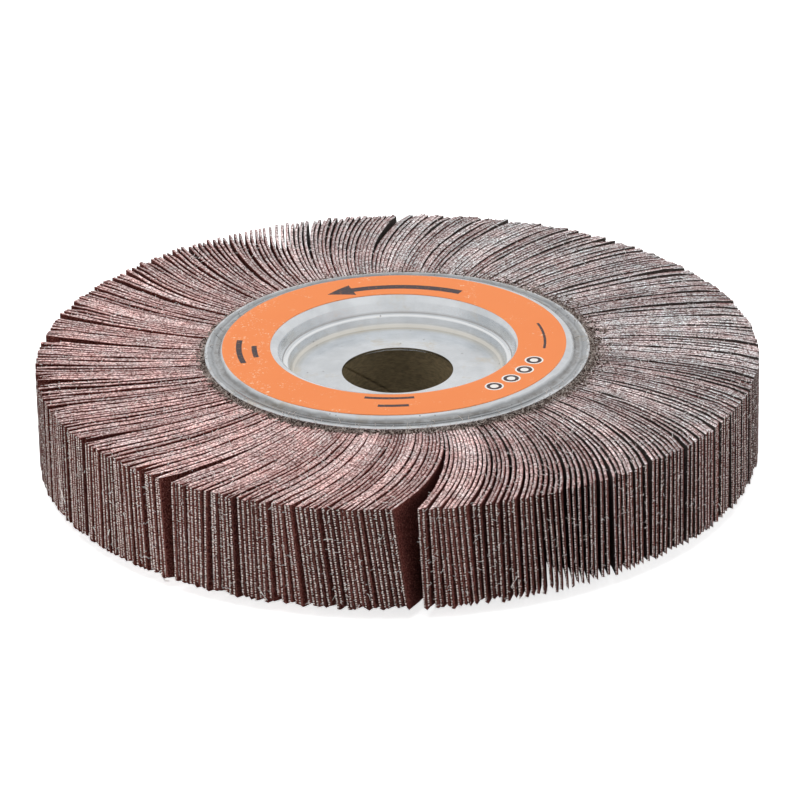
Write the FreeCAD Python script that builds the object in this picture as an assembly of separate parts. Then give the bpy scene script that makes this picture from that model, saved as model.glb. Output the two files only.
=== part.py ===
"""Flap wheel: abrasive cloth flaps round a resin ring, between two pressed steel flanges.

Millimetres, +Z up. The origin is the middle of the bore, on the wheel's mid-plane, and the wheel
lies on the land of its rear flange. Seen from above, the flaps sweep clockwise towards their tips.
"""
import FreeCAD
import Part
import math
import os

# Overall sizes
OUTER_DIAMETER = 165.0
FLAP_WIDTH = 24.6
BORE_DIAMETER = 25.4
HUB_WIDTH = 28.8

# Pressed flange: one sheet, from its rim in to its bore
SHEET = 0.8
BRIM_WIDTH = 2.7
RIM_LIFT = 0.25
BRIM_SHOULDER_RUN = 1.4
LAND_OUTER_RADIUS = 39.8
LAND_INNER_RADIUS = 28.2
SHOULDER_RUN = 1.6
SHOULDER_DROP = 1.5
LEDGE_WIDTH = 1.8
LEDGE_DEPTH = 3.8
FLOOR_DEPTH = 6.6

# Label ring on the front land
LABEL_THICKNESS = 0.1
LABEL_OUTER_MARGIN = 0.5
LABEL_INNER_MARGIN = 0.1

# Inside the hub: a spacer tube between the dish floors, and a resin ring between the lands
SPACER_RELIEF = 0.5
SPACER_WALL = 2.8
ROOT_MARGIN = 0.5

# Flaps: they stand side by side at the roots and spread towards the tips
FLAP_THICKNESS = 0.8
ROOT_CLEARANCE = 0.02
EDGE_CLEARANCE = 0.15
FLAP_FACETS = 2
BUNCH_COUNT = 48

# Sweep of the flaps, as the angle from root to tip round the axis, in degrees. Two waves round the
# wheel make it uneven: each has its depth and the place where the sweep is largest.
SWEEP = 8.3
SWEEP_WAVES = ((1, 2.0, 330.0), (2, 2.2, 108.0))

# Gathering of each bunch at its tips, and the clefts where the flaps part, in degrees round the
# axis: the place of each cleft at the roots with its width at the tips
BUNCH_GATHER = 1.0
CLEFTS = ((283.0, 3.2), (240.0, 1.8), (176.0, 1.8), (97.0, 1.2))
CLEFT_REACH = 8.0

OUTER_RADIUS = OUTER_DIAMETER / 2
BORE_RADIUS = BORE_DIAMETER / 2
LAND_HEIGHT = HUB_WIDTH / 2
FLOOR_HEIGHT = LAND_HEIGHT - FLOOR_DEPTH
VALLEY_HEIGHT = FLAP_WIDTH / 2 + EDGE_CLEARANCE + SHEET
VALLEY_RADIUS = LAND_OUTER_RADIUS + BRIM_SHOULDER_RUN
RIM_RADIUS = VALLEY_RADIUS + BRIM_WIDTH
ROOT_RADIUS = LAND_OUTER_RADIUS - ROOT_MARGIN
FLAP_COUNT = int(2 * math.pi * ROOT_RADIUS / (FLAP_THICKNESS + ROOT_CLEARANCE))


def revolved(section):
    """Turn a closed outline of (radius, height) points once round the axis."""
    points = [FreeCAD.Vector(radius, 0, height) for radius, height in section]
    face = Part.Face(Part.makePolygon(points + points[:1]))
    return face.revolve(FreeCAD.Vector(0, 0, 0), FreeCAD.Vector(0, 0, 1), 360)


def unit(start, end):
    """Give the direction from one (radius, height) point to the next, with length 1."""
    run = end[0] - start[0]
    rise = end[1] - start[1]
    length = math.hypot(run, rise)
    return run / length, rise / length


def sheet_back(face_line, thickness):
    """Follow an open line at the sheet's thickness to its left, with mitred corners."""
    steps = [unit(a, b) for a, b in zip(face_line, face_line[1:])]
    before = steps[:1] + steps
    after = steps + steps[-1:]
    back = []
    for (radius, height), (ax, ay), (bx, by) in zip(face_line, before, after):
        reach = thickness / (1 + ax * bx + ay * by)
        back.append((radius - (ay + by) * reach, height + (ax + bx) * reach))
    return back


def flange_face_line():
    """List the corners of the flange's outer face, from its rim in to its bore."""
    wall_radius = LAND_INNER_RADIUS - SHOULDER_RUN
    inner_wall_radius = wall_radius - LEDGE_WIDTH
    ledge_height = LAND_HEIGHT - LEDGE_DEPTH
    return [
        (RIM_RADIUS, VALLEY_HEIGHT + RIM_LIFT),
        (VALLEY_RADIUS, VALLEY_HEIGHT),
        (LAND_OUTER_RADIUS, LAND_HEIGHT),
        (LAND_INNER_RADIUS, LAND_HEIGHT),
        (wall_radius, LAND_HEIGHT - SHOULDER_DROP),
        (wall_radius, ledge_height),
        (inner_wall_radius, ledge_height),
        (inner_wall_radius, FLOOR_HEIGHT),
        (BORE_RADIUS, FLOOR_HEIGHT),
    ]


def make_front_flange():
    """Revolve the pressed sheet: raised rim, valley, land, stepped dish, floor and bore."""
    face_line = flange_face_line()
    return revolved(face_line + sheet_back(face_line, SHEET)[::-1])


def make_rear_flange():
    """The same pressing on the other side of the mid-plane."""
    return make_front_flange().mirror(FreeCAD.Vector(0, 0, 0), FreeCAD.Vector(0, 0, 1))


def make_front_label():
    """A thin ring stuck on the front land."""
    inner = LAND_INNER_RADIUS + LABEL_INNER_MARGIN
    outer = LAND_OUTER_RADIUS - LABEL_OUTER_MARGIN
    top = LAND_HEIGHT + LABEL_THICKNESS
    return revolved([(inner, LAND_HEIGHT), (outer, LAND_HEIGHT), (outer, top), (inner, top)])


def ring(inner, outer, half_height):
    """Make a plain ring about the mid-plane."""
    return revolved([
        (inner, -half_height),
        (outer, -half_height),
        (outer, half_height),
        (inner, half_height),
    ])


def make_spacer_tube():
    """Keep the two dish floors apart when the wheel is clamped on its arbor."""
    inner = BORE_RADIUS + SPACER_RELIEF
    return ring(inner, inner + SPACER_WALL, FLOOR_HEIGHT - SHEET)


def make_resin_ring():
    """Fill the space between the lands, where the flap roots are bonded in."""
    return ring(LAND_INNER_RADIUS + SHEET, ROOT_RADIUS, LAND_HEIGHT - SHEET)


def signed_gap(angle, other):
    """Give the way round from other to angle in degrees, from -180 to 180."""
    return (angle - other + 180.0) % 360.0 - 180.0


def flap_sweep(angle, place):
    """Give a flap's sweep from its root angle and its place in its bunch, from -0.5 to 0.5."""
    sweep = SWEEP + BUNCH_GATHER * place
    for times, depth, peak in SWEEP_WAVES:
        sweep += depth * math.cos(math.radians(times * (angle - peak)))
    for cleft, width in CLEFTS:
        gap = signed_gap(angle, cleft)
        sweep -= math.copysign(width / 2 * math.exp(-abs(gap) / CLEFT_REACH), gap)
    return sweep


def make_flap(angle, sweep):
    """Bend one strip along an arc that leaves the core square and ends at the outer radius.

    The arc's chord turns by half of the arc's own turn, which gives the turn and the bend radius
    from the place of the tip.
    """
    tip_along = OUTER_RADIUS * math.cos(math.radians(sweep)) - ROOT_RADIUS
    tip_aside = OUTER_RADIUS * math.sin(math.radians(sweep))
    turn = 2 * math.atan2(tip_aside, tip_along)
    bend = tip_along / math.sin(turn)
    left = []
    right = []
    for facet in range(FLAP_FACETS + 1):
        heading = turn * facet / FLAP_FACETS
        along = ROOT_RADIUS + bend * math.sin(heading)
        aside = -bend * (1 - math.cos(heading))
        half = FreeCAD.Vector(math.sin(heading), math.cos(heading), 0) * (FLAP_THICKNESS / 2)
        middle = FreeCAD.Vector(along, aside, -FLAP_WIDTH / 2)
        left.append(middle + half)
        right.append(middle - half)
    outline = left + right[::-1]
    face = Part.Face(Part.makePolygon(outline + outline[:1]))
    flap = face.extrude(FreeCAD.Vector(0, 0, FLAP_WIDTH))
    flap.rotate(FreeCAD.Vector(0, 0, 0), FreeCAD.Vector(0, 0, 1), angle)
    return flap


def make_flap_bunches():
    """Share the flaps out among the bunches, in order round the core."""
    bunches = [[] for _ in range(BUNCH_COUNT)]
    for index in range(FLAP_COUNT):
        place = (index + 0.5) * BUNCH_COUNT / FLAP_COUNT
        bunch = int(place)
        angle = 360.0 * index / FLAP_COUNT
        bunches[bunch].append(make_flap(angle, flap_sweep(angle, place - bunch - 0.5)))
    return [Part.makeCompound(flaps) for flaps in bunches]


def main():
    """Write one file for each node."""
    nodes = {
        "front_flange": make_front_flange(),
        "rear_flange": make_rear_flange(),
        "front_label": make_front_label(),
        "spacer_tube": make_spacer_tube(),
        "resin_ring": make_resin_ring(),
    }
    for number, bunch in enumerate(make_flap_bunches(), start=1):
        nodes[f"flap_bunch_{number:02d}"] = bunch
    os.makedirs("parts", exist_ok=True)
    for name, shape in nodes.items():
        shape.exportStep(f"parts/{name}.step")


main()
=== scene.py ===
"""Looks of a flap wheel: cloth flaps with grain, pressed flanges, a label ring and bonded roots.

Metres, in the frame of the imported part: the origin is the middle of the bore, +Z is up, and seen
from above the flaps sweep clockwise towards their tips. Angles round the wheel run anticlockwise
from +X. Every shape is a function of two parameters, worked out as whole arrays.
"""
import logging
import math
from abc import ABC, abstractmethod
from dataclasses import dataclass, field
from enum import Enum, IntEnum

import bmesh
import bpy
import numpy as np
from mathutils import Matrix, Vector


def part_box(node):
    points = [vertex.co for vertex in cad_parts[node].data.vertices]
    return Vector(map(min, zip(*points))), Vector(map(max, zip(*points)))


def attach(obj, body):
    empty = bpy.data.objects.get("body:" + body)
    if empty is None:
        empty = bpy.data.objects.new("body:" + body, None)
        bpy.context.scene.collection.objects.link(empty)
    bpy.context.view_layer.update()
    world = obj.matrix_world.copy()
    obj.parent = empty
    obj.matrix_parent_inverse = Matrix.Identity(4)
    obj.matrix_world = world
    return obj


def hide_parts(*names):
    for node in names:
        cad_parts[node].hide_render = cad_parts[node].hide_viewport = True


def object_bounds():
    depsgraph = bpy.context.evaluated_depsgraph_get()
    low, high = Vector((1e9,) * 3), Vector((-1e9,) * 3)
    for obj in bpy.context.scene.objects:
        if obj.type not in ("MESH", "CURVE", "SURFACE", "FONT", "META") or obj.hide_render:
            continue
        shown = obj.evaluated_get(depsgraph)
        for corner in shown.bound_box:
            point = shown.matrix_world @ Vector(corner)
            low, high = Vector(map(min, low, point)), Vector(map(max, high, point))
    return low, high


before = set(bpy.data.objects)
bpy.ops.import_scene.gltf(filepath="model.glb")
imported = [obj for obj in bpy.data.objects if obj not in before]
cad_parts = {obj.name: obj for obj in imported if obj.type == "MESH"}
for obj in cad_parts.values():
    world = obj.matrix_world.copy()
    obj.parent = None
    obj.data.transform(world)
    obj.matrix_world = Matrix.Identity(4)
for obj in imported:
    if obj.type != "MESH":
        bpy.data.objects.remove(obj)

CAD_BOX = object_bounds()
MM = 0.001
SEED = 7348
LEAST_BEND = 0.05 * MM
CLOTH_MAP = "cloth"
TONE = "tone"
LOG = logging.getLogger("flap_wheel")

Array = np.ndarray
Colour = tuple[float, float, float]
Stop = tuple[float, Colour]


class Side(IntEnum):
    """The two sides of the wheel, as the sign of their height."""

    FRONT = 1
    REAR = -1


class Cloth(IntEnum):
    """The faces of a flap, as the number of the finish that each takes."""

    GRAIN = 0
    BACK = 1
    CUT = 2
    TIP = 3


class Slot(Enum):
    """The record's material slots."""

    STEEL = "zinc_plated_steel"
    LABEL = "orange_label"
    TUBE = "fibre_tube"
    RESIN = "resin"
    CLOTH = "abrasive_cloth"


class Pattern(Enum):
    """What a finish reads its pattern from."""

    OBJECT = "object"
    CLOTH = "cloth"


class NodeGraph:
    """A material's nodes, with the few calls that the finishes are painted with."""

    def __init__(self, name: str) -> None:
        """Start a material that holds one shader.

        Args:
            name: The material's name.
        """
        self.material = bpy.data.materials.new(name)
        self.material.use_nodes = True
        self.nodes = self.material.node_tree.nodes
        self.links = self.material.node_tree.links
        self.nodes.clear()
        self.output = self.nodes.new("ShaderNodeOutputMaterial")
        self.shader = self.nodes.new("ShaderNodeBsdfPrincipled")
        self.links.new(self.shader.outputs[0], self.output.inputs["Surface"])

    def put(self, node: bpy.types.Node, index: int | str, value: object) -> None:
        """Give a node's input a value, or a link where the value is another node's output."""
        if isinstance(value, bpy.types.NodeSocket):
            self.links.new(value, node.inputs[index])
        elif isinstance(value, tuple) and len(value) == 3 and node.inputs[index].type == "RGBA":
            node.inputs[index].default_value = (*value, 1.0)
        else:
            node.inputs[index].default_value = value

    def shade(self, **values: object) -> None:
        """Set the shader's inputs, named with underscores for spaces."""
        for name, value in values.items():
            self.put(self.shader, name.replace("_", " "), value)

    def place(self, pattern: Pattern) -> bpy.types.NodeSocket:
        """Read the coordinates that a pattern follows."""
        if pattern is Pattern.CLOTH:
            node = self.nodes.new("ShaderNodeUVMap")
            node.uv_map = CLOTH_MAP
            return node.outputs["UV"]
        return self.nodes.new("ShaderNodeTexCoord").outputs["Object"]

    def attribute(self, name: str) -> bpy.types.NodeSocket:
        """Read a number that the mesh holds for each face."""
        node = self.nodes.new("ShaderNodeAttribute")
        node.attribute_name = name
        return node.outputs["Fac"]

    def stretch(self, place: bpy.types.NodeSocket, scale: Colour) -> bpy.types.NodeSocket:
        """Scale coordinates along each axis."""
        node = self.nodes.new("ShaderNodeMapping")
        self.put(node, "Vector", place)
        self.put(node, "Scale", scale)
        return node.outputs[0]

    def parts(self, place: bpy.types.NodeSocket) -> bpy.types.NodeOutputs:
        """Split coordinates into X, Y and Z."""
        node = self.nodes.new("ShaderNodeSeparateXYZ")
        self.put(node, 0, place)
        return node.outputs

    def radius(self, place: bpy.types.NodeSocket) -> bpy.types.NodeSocket:
        """Measure the distance from the wheel's axis."""
        node = self.nodes.new("ShaderNodeVectorMath")
        node.operation = "LENGTH"
        self.put(node, 0, self.stretch(place, (1.0, 1.0, 0.0)))
        return node.outputs["Value"]

    def noise(self, place: bpy.types.NodeSocket, period: float, detail: float = 2.0,
              rough: float = 0.6) -> bpy.types.NodeSocket:
        """Make a cloudy pattern.

        Args:
            place: The coordinates that it follows.
            period: The size of its largest clouds, in the coordinates' unit.
            detail: How many finer layers it has.
            rough: How strong the finer layers are.

        Returns:
            A number about 0.5.
        """
        node = self.nodes.new("ShaderNodeTexNoise")
        self.put(node, "Vector", place)
        self.put(node, "Scale", 1.0 / period)
        self.put(node, "Detail", detail)
        self.put(node, "Roughness", rough)
        return node.outputs[0]

    def rings(self, distance: bpy.types.NodeSocket, period: float) -> bpy.types.NodeSocket:
        """Make uneven rings from a distance, such as the marks of spinning or polishing."""
        node = self.nodes.new("ShaderNodeTexNoise")
        node.noise_dimensions = "1D"
        self.put(node, "W", distance)
        self.put(node, "Scale", 1.0 / period)
        self.put(node, "Detail", 3.0)
        return node.outputs[0]

    def specks(self, place: bpy.types.NodeSocket, period: float) -> bpy.types.NodeSocket:
        """Measure the distance to the nearest of many scattered points, in periods."""
        node = self.nodes.new("ShaderNodeTexVoronoi")
        self.put(node, "Vector", place)
        self.put(node, "Scale", 1.0 / period)
        return node.outputs["Distance"]

    def math(self, operation: str, first: object, second: object = 0.0) -> bpy.types.NodeSocket:
        """Work out one sum, product or the like."""
        node = self.nodes.new("ShaderNodeMath")
        node.operation = operation
        self.put(node, 0, first)
        self.put(node, 1, second)
        return node.outputs[0]

    def fade(self, value: bpy.types.NodeSocket, start: float, end: float, low: float = 0.0,
             high: float = 1.0) -> bpy.types.NodeSocket:
        """Go smoothly from low to high while a value goes from start to end."""
        node = self.nodes.new("ShaderNodeMapRange")
        node.interpolation_type = "SMOOTHSTEP"
        for index, number in enumerate((value, start, end, low, high)):
            self.put(node, index, number)
        return node.outputs[0]

    def ramp(self, value: bpy.types.NodeSocket, stops: list[Stop]) -> bpy.types.NodeSocket:
        """Turn a number into a colour between the given stops."""
        node = self.nodes.new("ShaderNodeValToRGB")
        elements = node.color_ramp.elements
        while len(elements) < len(stops):
            elements.new(1.0)
        for element, (position, colour) in zip(elements, stops):
            element.position = position
            element.color = (*colour, 1.0)
        self.put(node, 0, value)
        return node.outputs[0]

    def blend(self, share: object, first: object, second: object,
              how: str = "MIX") -> bpy.types.NodeSocket:
        """Blend two colours, by a share that goes from the first to the second."""
        node = self.nodes.new("ShaderNodeMix")
        node.data_type = "RGBA"
        node.blend_type = how
        self.put(node, 0, share)
        self.put(node, 6, first)
        self.put(node, 7, second)
        return node.outputs[2]

    def relief(self, height: bpy.types.NodeSocket, depth: float) -> None:
        """Give the surface a relief, with its depth in metres."""
        node = self.nodes.new("ShaderNodeBump")
        self.put(node, "Distance", depth)
        self.put(node, "Height", height)
        self.put(self.shader, "Normal", node.outputs[0])


class Finish(ABC):
    """A finish that can paint itself as a material."""

    name: str

    @abstractmethod
    def paint(self, graph: NodeGraph) -> None:
        """Lay the finish's nodes out on an empty graph."""

    def material(self) -> bpy.types.Material:
        """Give the finish's material, made the first time that it is asked for."""
        made = bpy.data.materials.get(self.name)
        if made is None:
            graph = NodeGraph(self.name)
            self.paint(graph)
            made = graph.material
        return made


@dataclass(frozen=True)
class ZincPlate(Finish):
    """Bright zinc plate on pressed sheet: soft clouds, ring marks, pale stains and dark specks,
    with painted shade, a painted highlight and painted reflections.

    Attributes:
        brim_reflection_bands: Radii from the land's edge out to the lip, each with how light the
            plate is painted there, as painted reflection bands.
        brim_wander: How far those rings stray, and over what distance they do so.
        seam: The radii where the painted shade line in the crease at the foot of the dish's wall
            starts, is darkest and ends.
        wall_foot: The heights between which the stain at the foot of the inner wall fades.
        wall_ring: The radii between which that stain sets in.
        ledge: The heights between which the painted highlight on the ledge sets in.
        valley: The radii where the painted shade of the valley has set in, starts to fade and ends.
        valley_start: Over what distance that painted shade sets in.
        roughness: The least and the greatest roughness.
        cloud: The size of the slow clouds.
        stain_cloud: The size of the stains.
        patch: The size of the patches of painted shade in the valley.
        dot_gap: How far apart the dark specks lie.
        ring: How far apart the ring marks lie.
        ripple: The size of the fine unevenness.
        relief: The depth of the ring marks.
    """

    name: str = "zinc_plate"
    light: Colour = (0.86, 0.885, 0.91)
    dark: Colour = (0.68, 0.705, 0.73)
    # colour of the painted highlight on the ledge
    painted_ledge_highlight: Colour = (0.98, 0.99, 1.0)
    stain: Colour = (0.70, 0.62, 0.49)
    beige: Colour = (0.72, 0.64, 0.50)
    # painted reflection bands between the land's edge and the lip, darker overall than the rest of
    # the plate
    brim_reflection_bands: tuple[tuple[float, float], ...] = (
        (39.9 * MM, 1.0),
        (40.5 * MM, 0.50),
        (41.2 * MM, 0.74),
        (41.8 * MM, 0.68),
        (42.3 * MM, 0.44),
        (42.8 * MM, 0.58),
        (43.3 * MM, 0.62),
        (43.55 * MM, 0.92),
    )
    brim_wander: tuple[float, float] = (0.25 * MM, 7 * MM)
    # colour of the painted shade in the valley and in the crease at the wall's foot, and of the
    # dark specks
    shade_and_specks: Colour = (0.16, 0.135, 0.11)
    seam: tuple[float, float, float] = (25.95 * MM, 26.15 * MM, 26.35 * MM)
    wall_foot: tuple[float, float] = (8.0 * MM, 9.2 * MM)
    wall_ring: tuple[float, float] = (21.5 * MM, 23.9 * MM)
    ledge: tuple[float, float] = (10.1 * MM, 10.5 * MM)
    valley: tuple[float, float, float] = (40.8 * MM, 41.4 * MM, 42.1 * MM)
    valley_start: float = 0.5 * MM
    roughness: tuple[float, float] = (0.13, 0.27)
    cloud: float = 14 * MM
    stain_cloud: float = 9 * MM
    patch: float = 2.5 * MM
    dot_gap: float = 3.1 * MM
    ring: float = 0.9 * MM
    ripple: float = 1.2 * MM
    relief: float = 0.006 * MM

    def paint(self, graph: NodeGraph) -> None:
        """Clouds set the colour and rings about the axis the gloss; painted shade darkens the
        valley and the foot of the wall, and a painted highlight lightens the ledge.
        """
        place = graph.place(Pattern.OBJECT)
        clouds = graph.noise(place, self.cloud, 4.0, 0.65)
        radius = graph.radius(place)
        rings = graph.rings(radius, self.ring)
        plate = graph.blend(graph.fade(clouds, 0.3, 0.7), self.dark, self.light)
        stains = graph.noise(place, self.stain_cloud, 5.0, 0.7)
        plate = graph.blend(graph.fade(stains, 0.54, 0.74, 0.0, 0.6), plate, self.stain)
        height = graph.math("ABSOLUTE", graph.parts(place)[2])
        beige = graph.math(
            "MULTIPLY",
            graph.fade(height, *self.wall_foot, 0.5, 0.0),
            graph.fade(radius, *self.wall_ring),
        )
        plate = graph.blend(beige, plate, self.beige)
        start, middle, end = self.seam
        # painted highlight: the ledge inside the foot of the wall is lightened towards near white
        ledge = graph.math(
            "MULTIPLY",
            graph.fade(height, *self.ledge),
            graph.fade(radius, start, middle, 0.9, 0.0),
        )
        plate = graph.blend(ledge, plate, self.painted_ledge_highlight)
        # painted reflections: lighter and darker rings between the land's edge and the lip
        plate = graph.blend(1.0, plate, self.painted_brim_reflections(graph, place, radius), "MULTIPLY")
        # painted shade: a dark line in the crease at the foot of the dish's wall
        seam = graph.math(
            "MULTIPLY", graph.fade(radius, start, middle), graph.fade(radius, middle, end, 0.6, 0.0)
        )
        plate = graph.blend(seam, plate, self.shade_and_specks)
        # painted shade in the valley between the shoulder and the lip, in patches
        start, middle, end = self.valley
        shade_and_specks = graph.math(
            "MULTIPLY",
            graph.fade(radius, start - self.valley_start, start),
            graph.fade(radius, middle, end, 1.0, 0.0),
        )
        patchy = graph.fade(graph.noise(place, self.patch, 4.0, 0.7), 0.35, 0.65, 0.20, 0.60)
        plate = graph.blend(graph.math("MULTIPLY", shade_and_specks, patchy), plate, self.shade_and_specks)
        dots = graph.fade(graph.specks(place, self.dot_gap), 0.05, 0.07, 0.6, 0.0)
        graph.shade(
            Base_Color=graph.blend(dots, plate, self.shade_and_specks),
            Roughness=graph.fade(
                graph.math("ADD", rings, clouds), 0.7, 1.35, *self.roughness
            ),
            Metallic=1.0,
        )
        graph.relief(graph.math("ADD", rings, graph.noise(place, self.ripple)), self.relief)

    def painted_brim_reflections(self, graph: NodeGraph, place: bpy.types.NodeSocket,
                   radius: bpy.types.NodeSocket) -> bpy.types.NodeSocket:
        """Paint reflection bands from the land's edge to the lip: lighter and darker rings that
        stray a little from their radii.

        Args:
            graph: The material's nodes.
            place: The coordinates.
            radius: The distance from the axis.

        Returns:
            A grey to multiply the plate's colour with.
        """
        inner, outer = self.brim_reflection_bands[0][0], self.brim_reflection_bands[-1][0]
        most, period = self.brim_wander
        wander = graph.fade(graph.noise(place, period, 3.0), 0.3, 0.7, -most, most)
        across = graph.math("SUBTRACT", graph.math("ADD", radius, wander), inner)
        share = graph.math("DIVIDE", across, outer - inner)
        shades = [((at - inner) / (outer - inner), (tone, tone, tone)) for at, tone in self.brim_reflection_bands]
        return graph.ramp(share, shades)


@dataclass(frozen=True)
class LabelPaper(Finish):
    """Orange coated paper with pale scuffs, thickest on the wheel's left.

    Attributes:
        orange: The paper's colour.
        deep: Its colour where it is a little darker.
        worn: Its colour where it is scuffed.
        left: Between which places along X the extra scuffs of the left side fade.
        scuff: The size of a scuff.
        patch: The size of the patches of scuffs.
        cloud: The size of the slow clouds.
        fibre: The size of the paper's unevenness, and its depth.
    """

    name: str = "label_paper"
    orange: Colour = (0.86, 0.27, 0.095)
    deep: Colour = (0.80, 0.22, 0.07)
    worn: Colour = (0.93, 0.66, 0.47)
    left: tuple[float, float] = (-32 * MM, -20 * MM)
    scuff: float = 0.55 * MM
    patch: float = 5 * MM
    cloud: float = 16 * MM
    fibre: tuple[float, float] = (0.8 * MM, 0.004 * MM)

    def paint(self, graph: NodeGraph) -> None:
        """Scuffs are small specks, kept where a slow pattern and the left side allow them."""
        place = graph.place(Pattern.OBJECT)
        left = graph.fade(graph.parts(place)[0], *self.left, 0.10, 0.0)
        patches = graph.math("ADD", graph.noise(place, self.patch, 3.0), left)
        specks = graph.fade(graph.noise(place, self.scuff, 2.0, 0.7), 0.60, 0.66)
        scuffs = graph.math("MULTIPLY", specks, graph.fade(patches, 0.54, 0.68))
        slow = graph.fade(graph.noise(place, self.cloud), 0.3, 0.7, 0.0, 0.16)
        orange = graph.blend(slow, self.orange, self.deep)
        graph.shade(
            Base_Color=graph.blend(scuffs, orange, self.worn),
            Roughness=0.5,
            Specular_IOR_Level=0.12,
        )
        period, depth = self.fibre
        graph.relief(graph.noise(place, period), depth)


@dataclass(frozen=True)
class Ink(Finish):
    """Printing ink, a little worn.

    Attributes:
        colour: The ink's colour.
        worn: Its colour where the paper shows through.
        fleck: The size of the worn flecks.
    """

    name: str = "dark_ink"
    colour: Colour = (0.075, 0.062, 0.066)
    worn: Colour = (0.42, 0.17, 0.07)
    fleck: float = 0.6 * MM

    def paint(self, graph: NodeGraph) -> None:
        """Fine noise lets a little of the paper through."""
        place = graph.place(Pattern.OBJECT)
        wear = graph.fade(graph.noise(place, self.fleck, 3.0, 0.7), 0.56, 0.68, 0.0, 0.7)
        graph.shade(
            Base_Color=graph.blend(wear, self.colour, self.worn),
            Roughness=0.6,
            Specular_IOR_Level=0.12,
        )


@dataclass(frozen=True)
class FibreBoard(Finish):
    """Dark fibre board of a wound tube.

    Attributes:
        light: The colour of the lightest fibres.
        dark: The colour of the darkest ones.
        fibre: The size of the fibres.
        depth: The depth of their relief.
    """

    name: str = "fibre_board"
    light: Colour = (0.28, 0.22, 0.125)
    dark: Colour = (0.155, 0.12, 0.07)
    fibre: float = 1.4 * MM
    depth: float = 0.05 * MM

    def paint(self, graph: NodeGraph) -> None:
        """Short fibres run round the tube."""
        place = graph.place(Pattern.OBJECT)
        fibres = graph.noise(graph.stretch(place, (1.0, 1.0, 3.0)), self.fibre, 5.0, 0.7)
        graph.shade(
            Base_Color=graph.blend(graph.fade(fibres, 0.3, 0.7), self.dark, self.light),
            Roughness=0.85,
            Specular_IOR_Level=0.2,
        )
        graph.relief(fibres, self.depth)


@dataclass(frozen=True)
class Resin(Finish):
    """Brown bonding resin with dust on it.

    Attributes:
        light: The dust's colour.
        middle: The resin's colour.
        dark: The colour of its hollows.
        lump: The size of the lumps.
        depth: The depth of their relief.
    """

    name: str = "bonding_resin"
    light: Colour = (0.60, 0.52, 0.47)
    middle: Colour = (0.20, 0.145, 0.125)
    dark: Colour = (0.035, 0.024, 0.02)
    lump: float = 0.5 * MM
    depth: float = 0.2 * MM

    def paint(self, graph: NodeGraph) -> None:
        """Specks of dust lie on a darker, lumpy ground."""
        place = graph.place(Pattern.OBJECT)
        lumps = graph.noise(place, self.lump, 3.0, 0.75)
        graph.shade(
            Base_Color=graph.ramp(lumps, [
                (0.44, self.dark),
                (0.52, self.middle),
                (0.64, self.light),
            ]),
            Roughness=0.8,
            Specular_IOR_Level=0.15,
        )
        graph.relief(lumps, self.depth)


@dataclass(frozen=True)
class Grain(Finish):
    """The abrasive side of a flap: red-brown grain in resin.

    Attributes:
        red: The colour of most grains.
        dark: The colour between the grains.
        pale: The colour of the palest ones.
        grit: The size of the grains.
        depth: The depth of their relief.
    """

    name: str = "abrasive_grain"
    red: Colour = (0.105, 0.023, 0.018)
    dark: Colour = (0.034, 0.008, 0.006)
    pale: Colour = (0.30, 0.12, 0.10)
    grit: float = 0.32 * MM
    depth: float = 0.12 * MM

    def paint(self, graph: NodeGraph) -> None:
        """Fine grain over slow clouds, with a few pale grains."""
        place = graph.place(Pattern.OBJECT)
        grit = graph.noise(place, self.grit, 2.0, 0.7)
        colour = graph.ramp(grit, [(0.36, self.dark), (0.52, self.red), (0.72, self.pale)])
        tone = graph.fade(graph.attribute(TONE), 0.0, 1.0, 0.78, 1.2)
        colour = graph.blend(1.0, colour, tone, "MULTIPLY")
        graph.shade(Base_Color=colour, Roughness=0.85, Specular_IOR_Level=0.15)
        graph.relief(grit, self.depth)


@dataclass(frozen=True)
class ClothBack(Finish):
    """The back of a flap: grey-brown twill.

    Attributes:
        light: The colour of the ribs.
        dark: The colour between them.
        thread: How far apart the ribs lie along the cloth, in millimetres.
        fibre: The size of the fibres that break them up.
        depth: The depth of the weave.
    """

    name: str = "cloth_back"
    light: Colour = (0.15, 0.125, 0.115)
    dark: Colour = (0.05, 0.04, 0.036)
    thread: float = 0.42
    fibre: float = 0.5 * MM
    depth: float = 0.1 * MM

    def paint(self, graph: NodeGraph) -> None:
        """Ribs run slantwise over the cloth, broken up by fibres."""
        cloth = graph.place(Pattern.CLOTH)
        along, across, _ = graph.parts(cloth)
        turn = 2 * math.pi / self.thread
        slant = graph.math("MULTIPLY", graph.math("ADD", along, across), turn)
        ribs = graph.math("SINE", slant)
        fibres = graph.noise(graph.place(Pattern.OBJECT), self.fibre, 3.0, 0.7)
        weave = graph.math("ADD", graph.math("MULTIPLY", ribs, 0.12), fibres)
        colour = graph.blend(graph.fade(weave, 0.32, 0.72), self.dark, self.light)
        tone = graph.fade(graph.attribute(TONE), 0.0, 1.0, 0.82, 1.16)
        graph.shade(
            Base_Color=graph.blend(1.0, colour, tone, "MULTIPLY"),
            Roughness=0.9,
            Specular_IOR_Level=0.1,
        )
        graph.relief(weave, self.depth)


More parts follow.
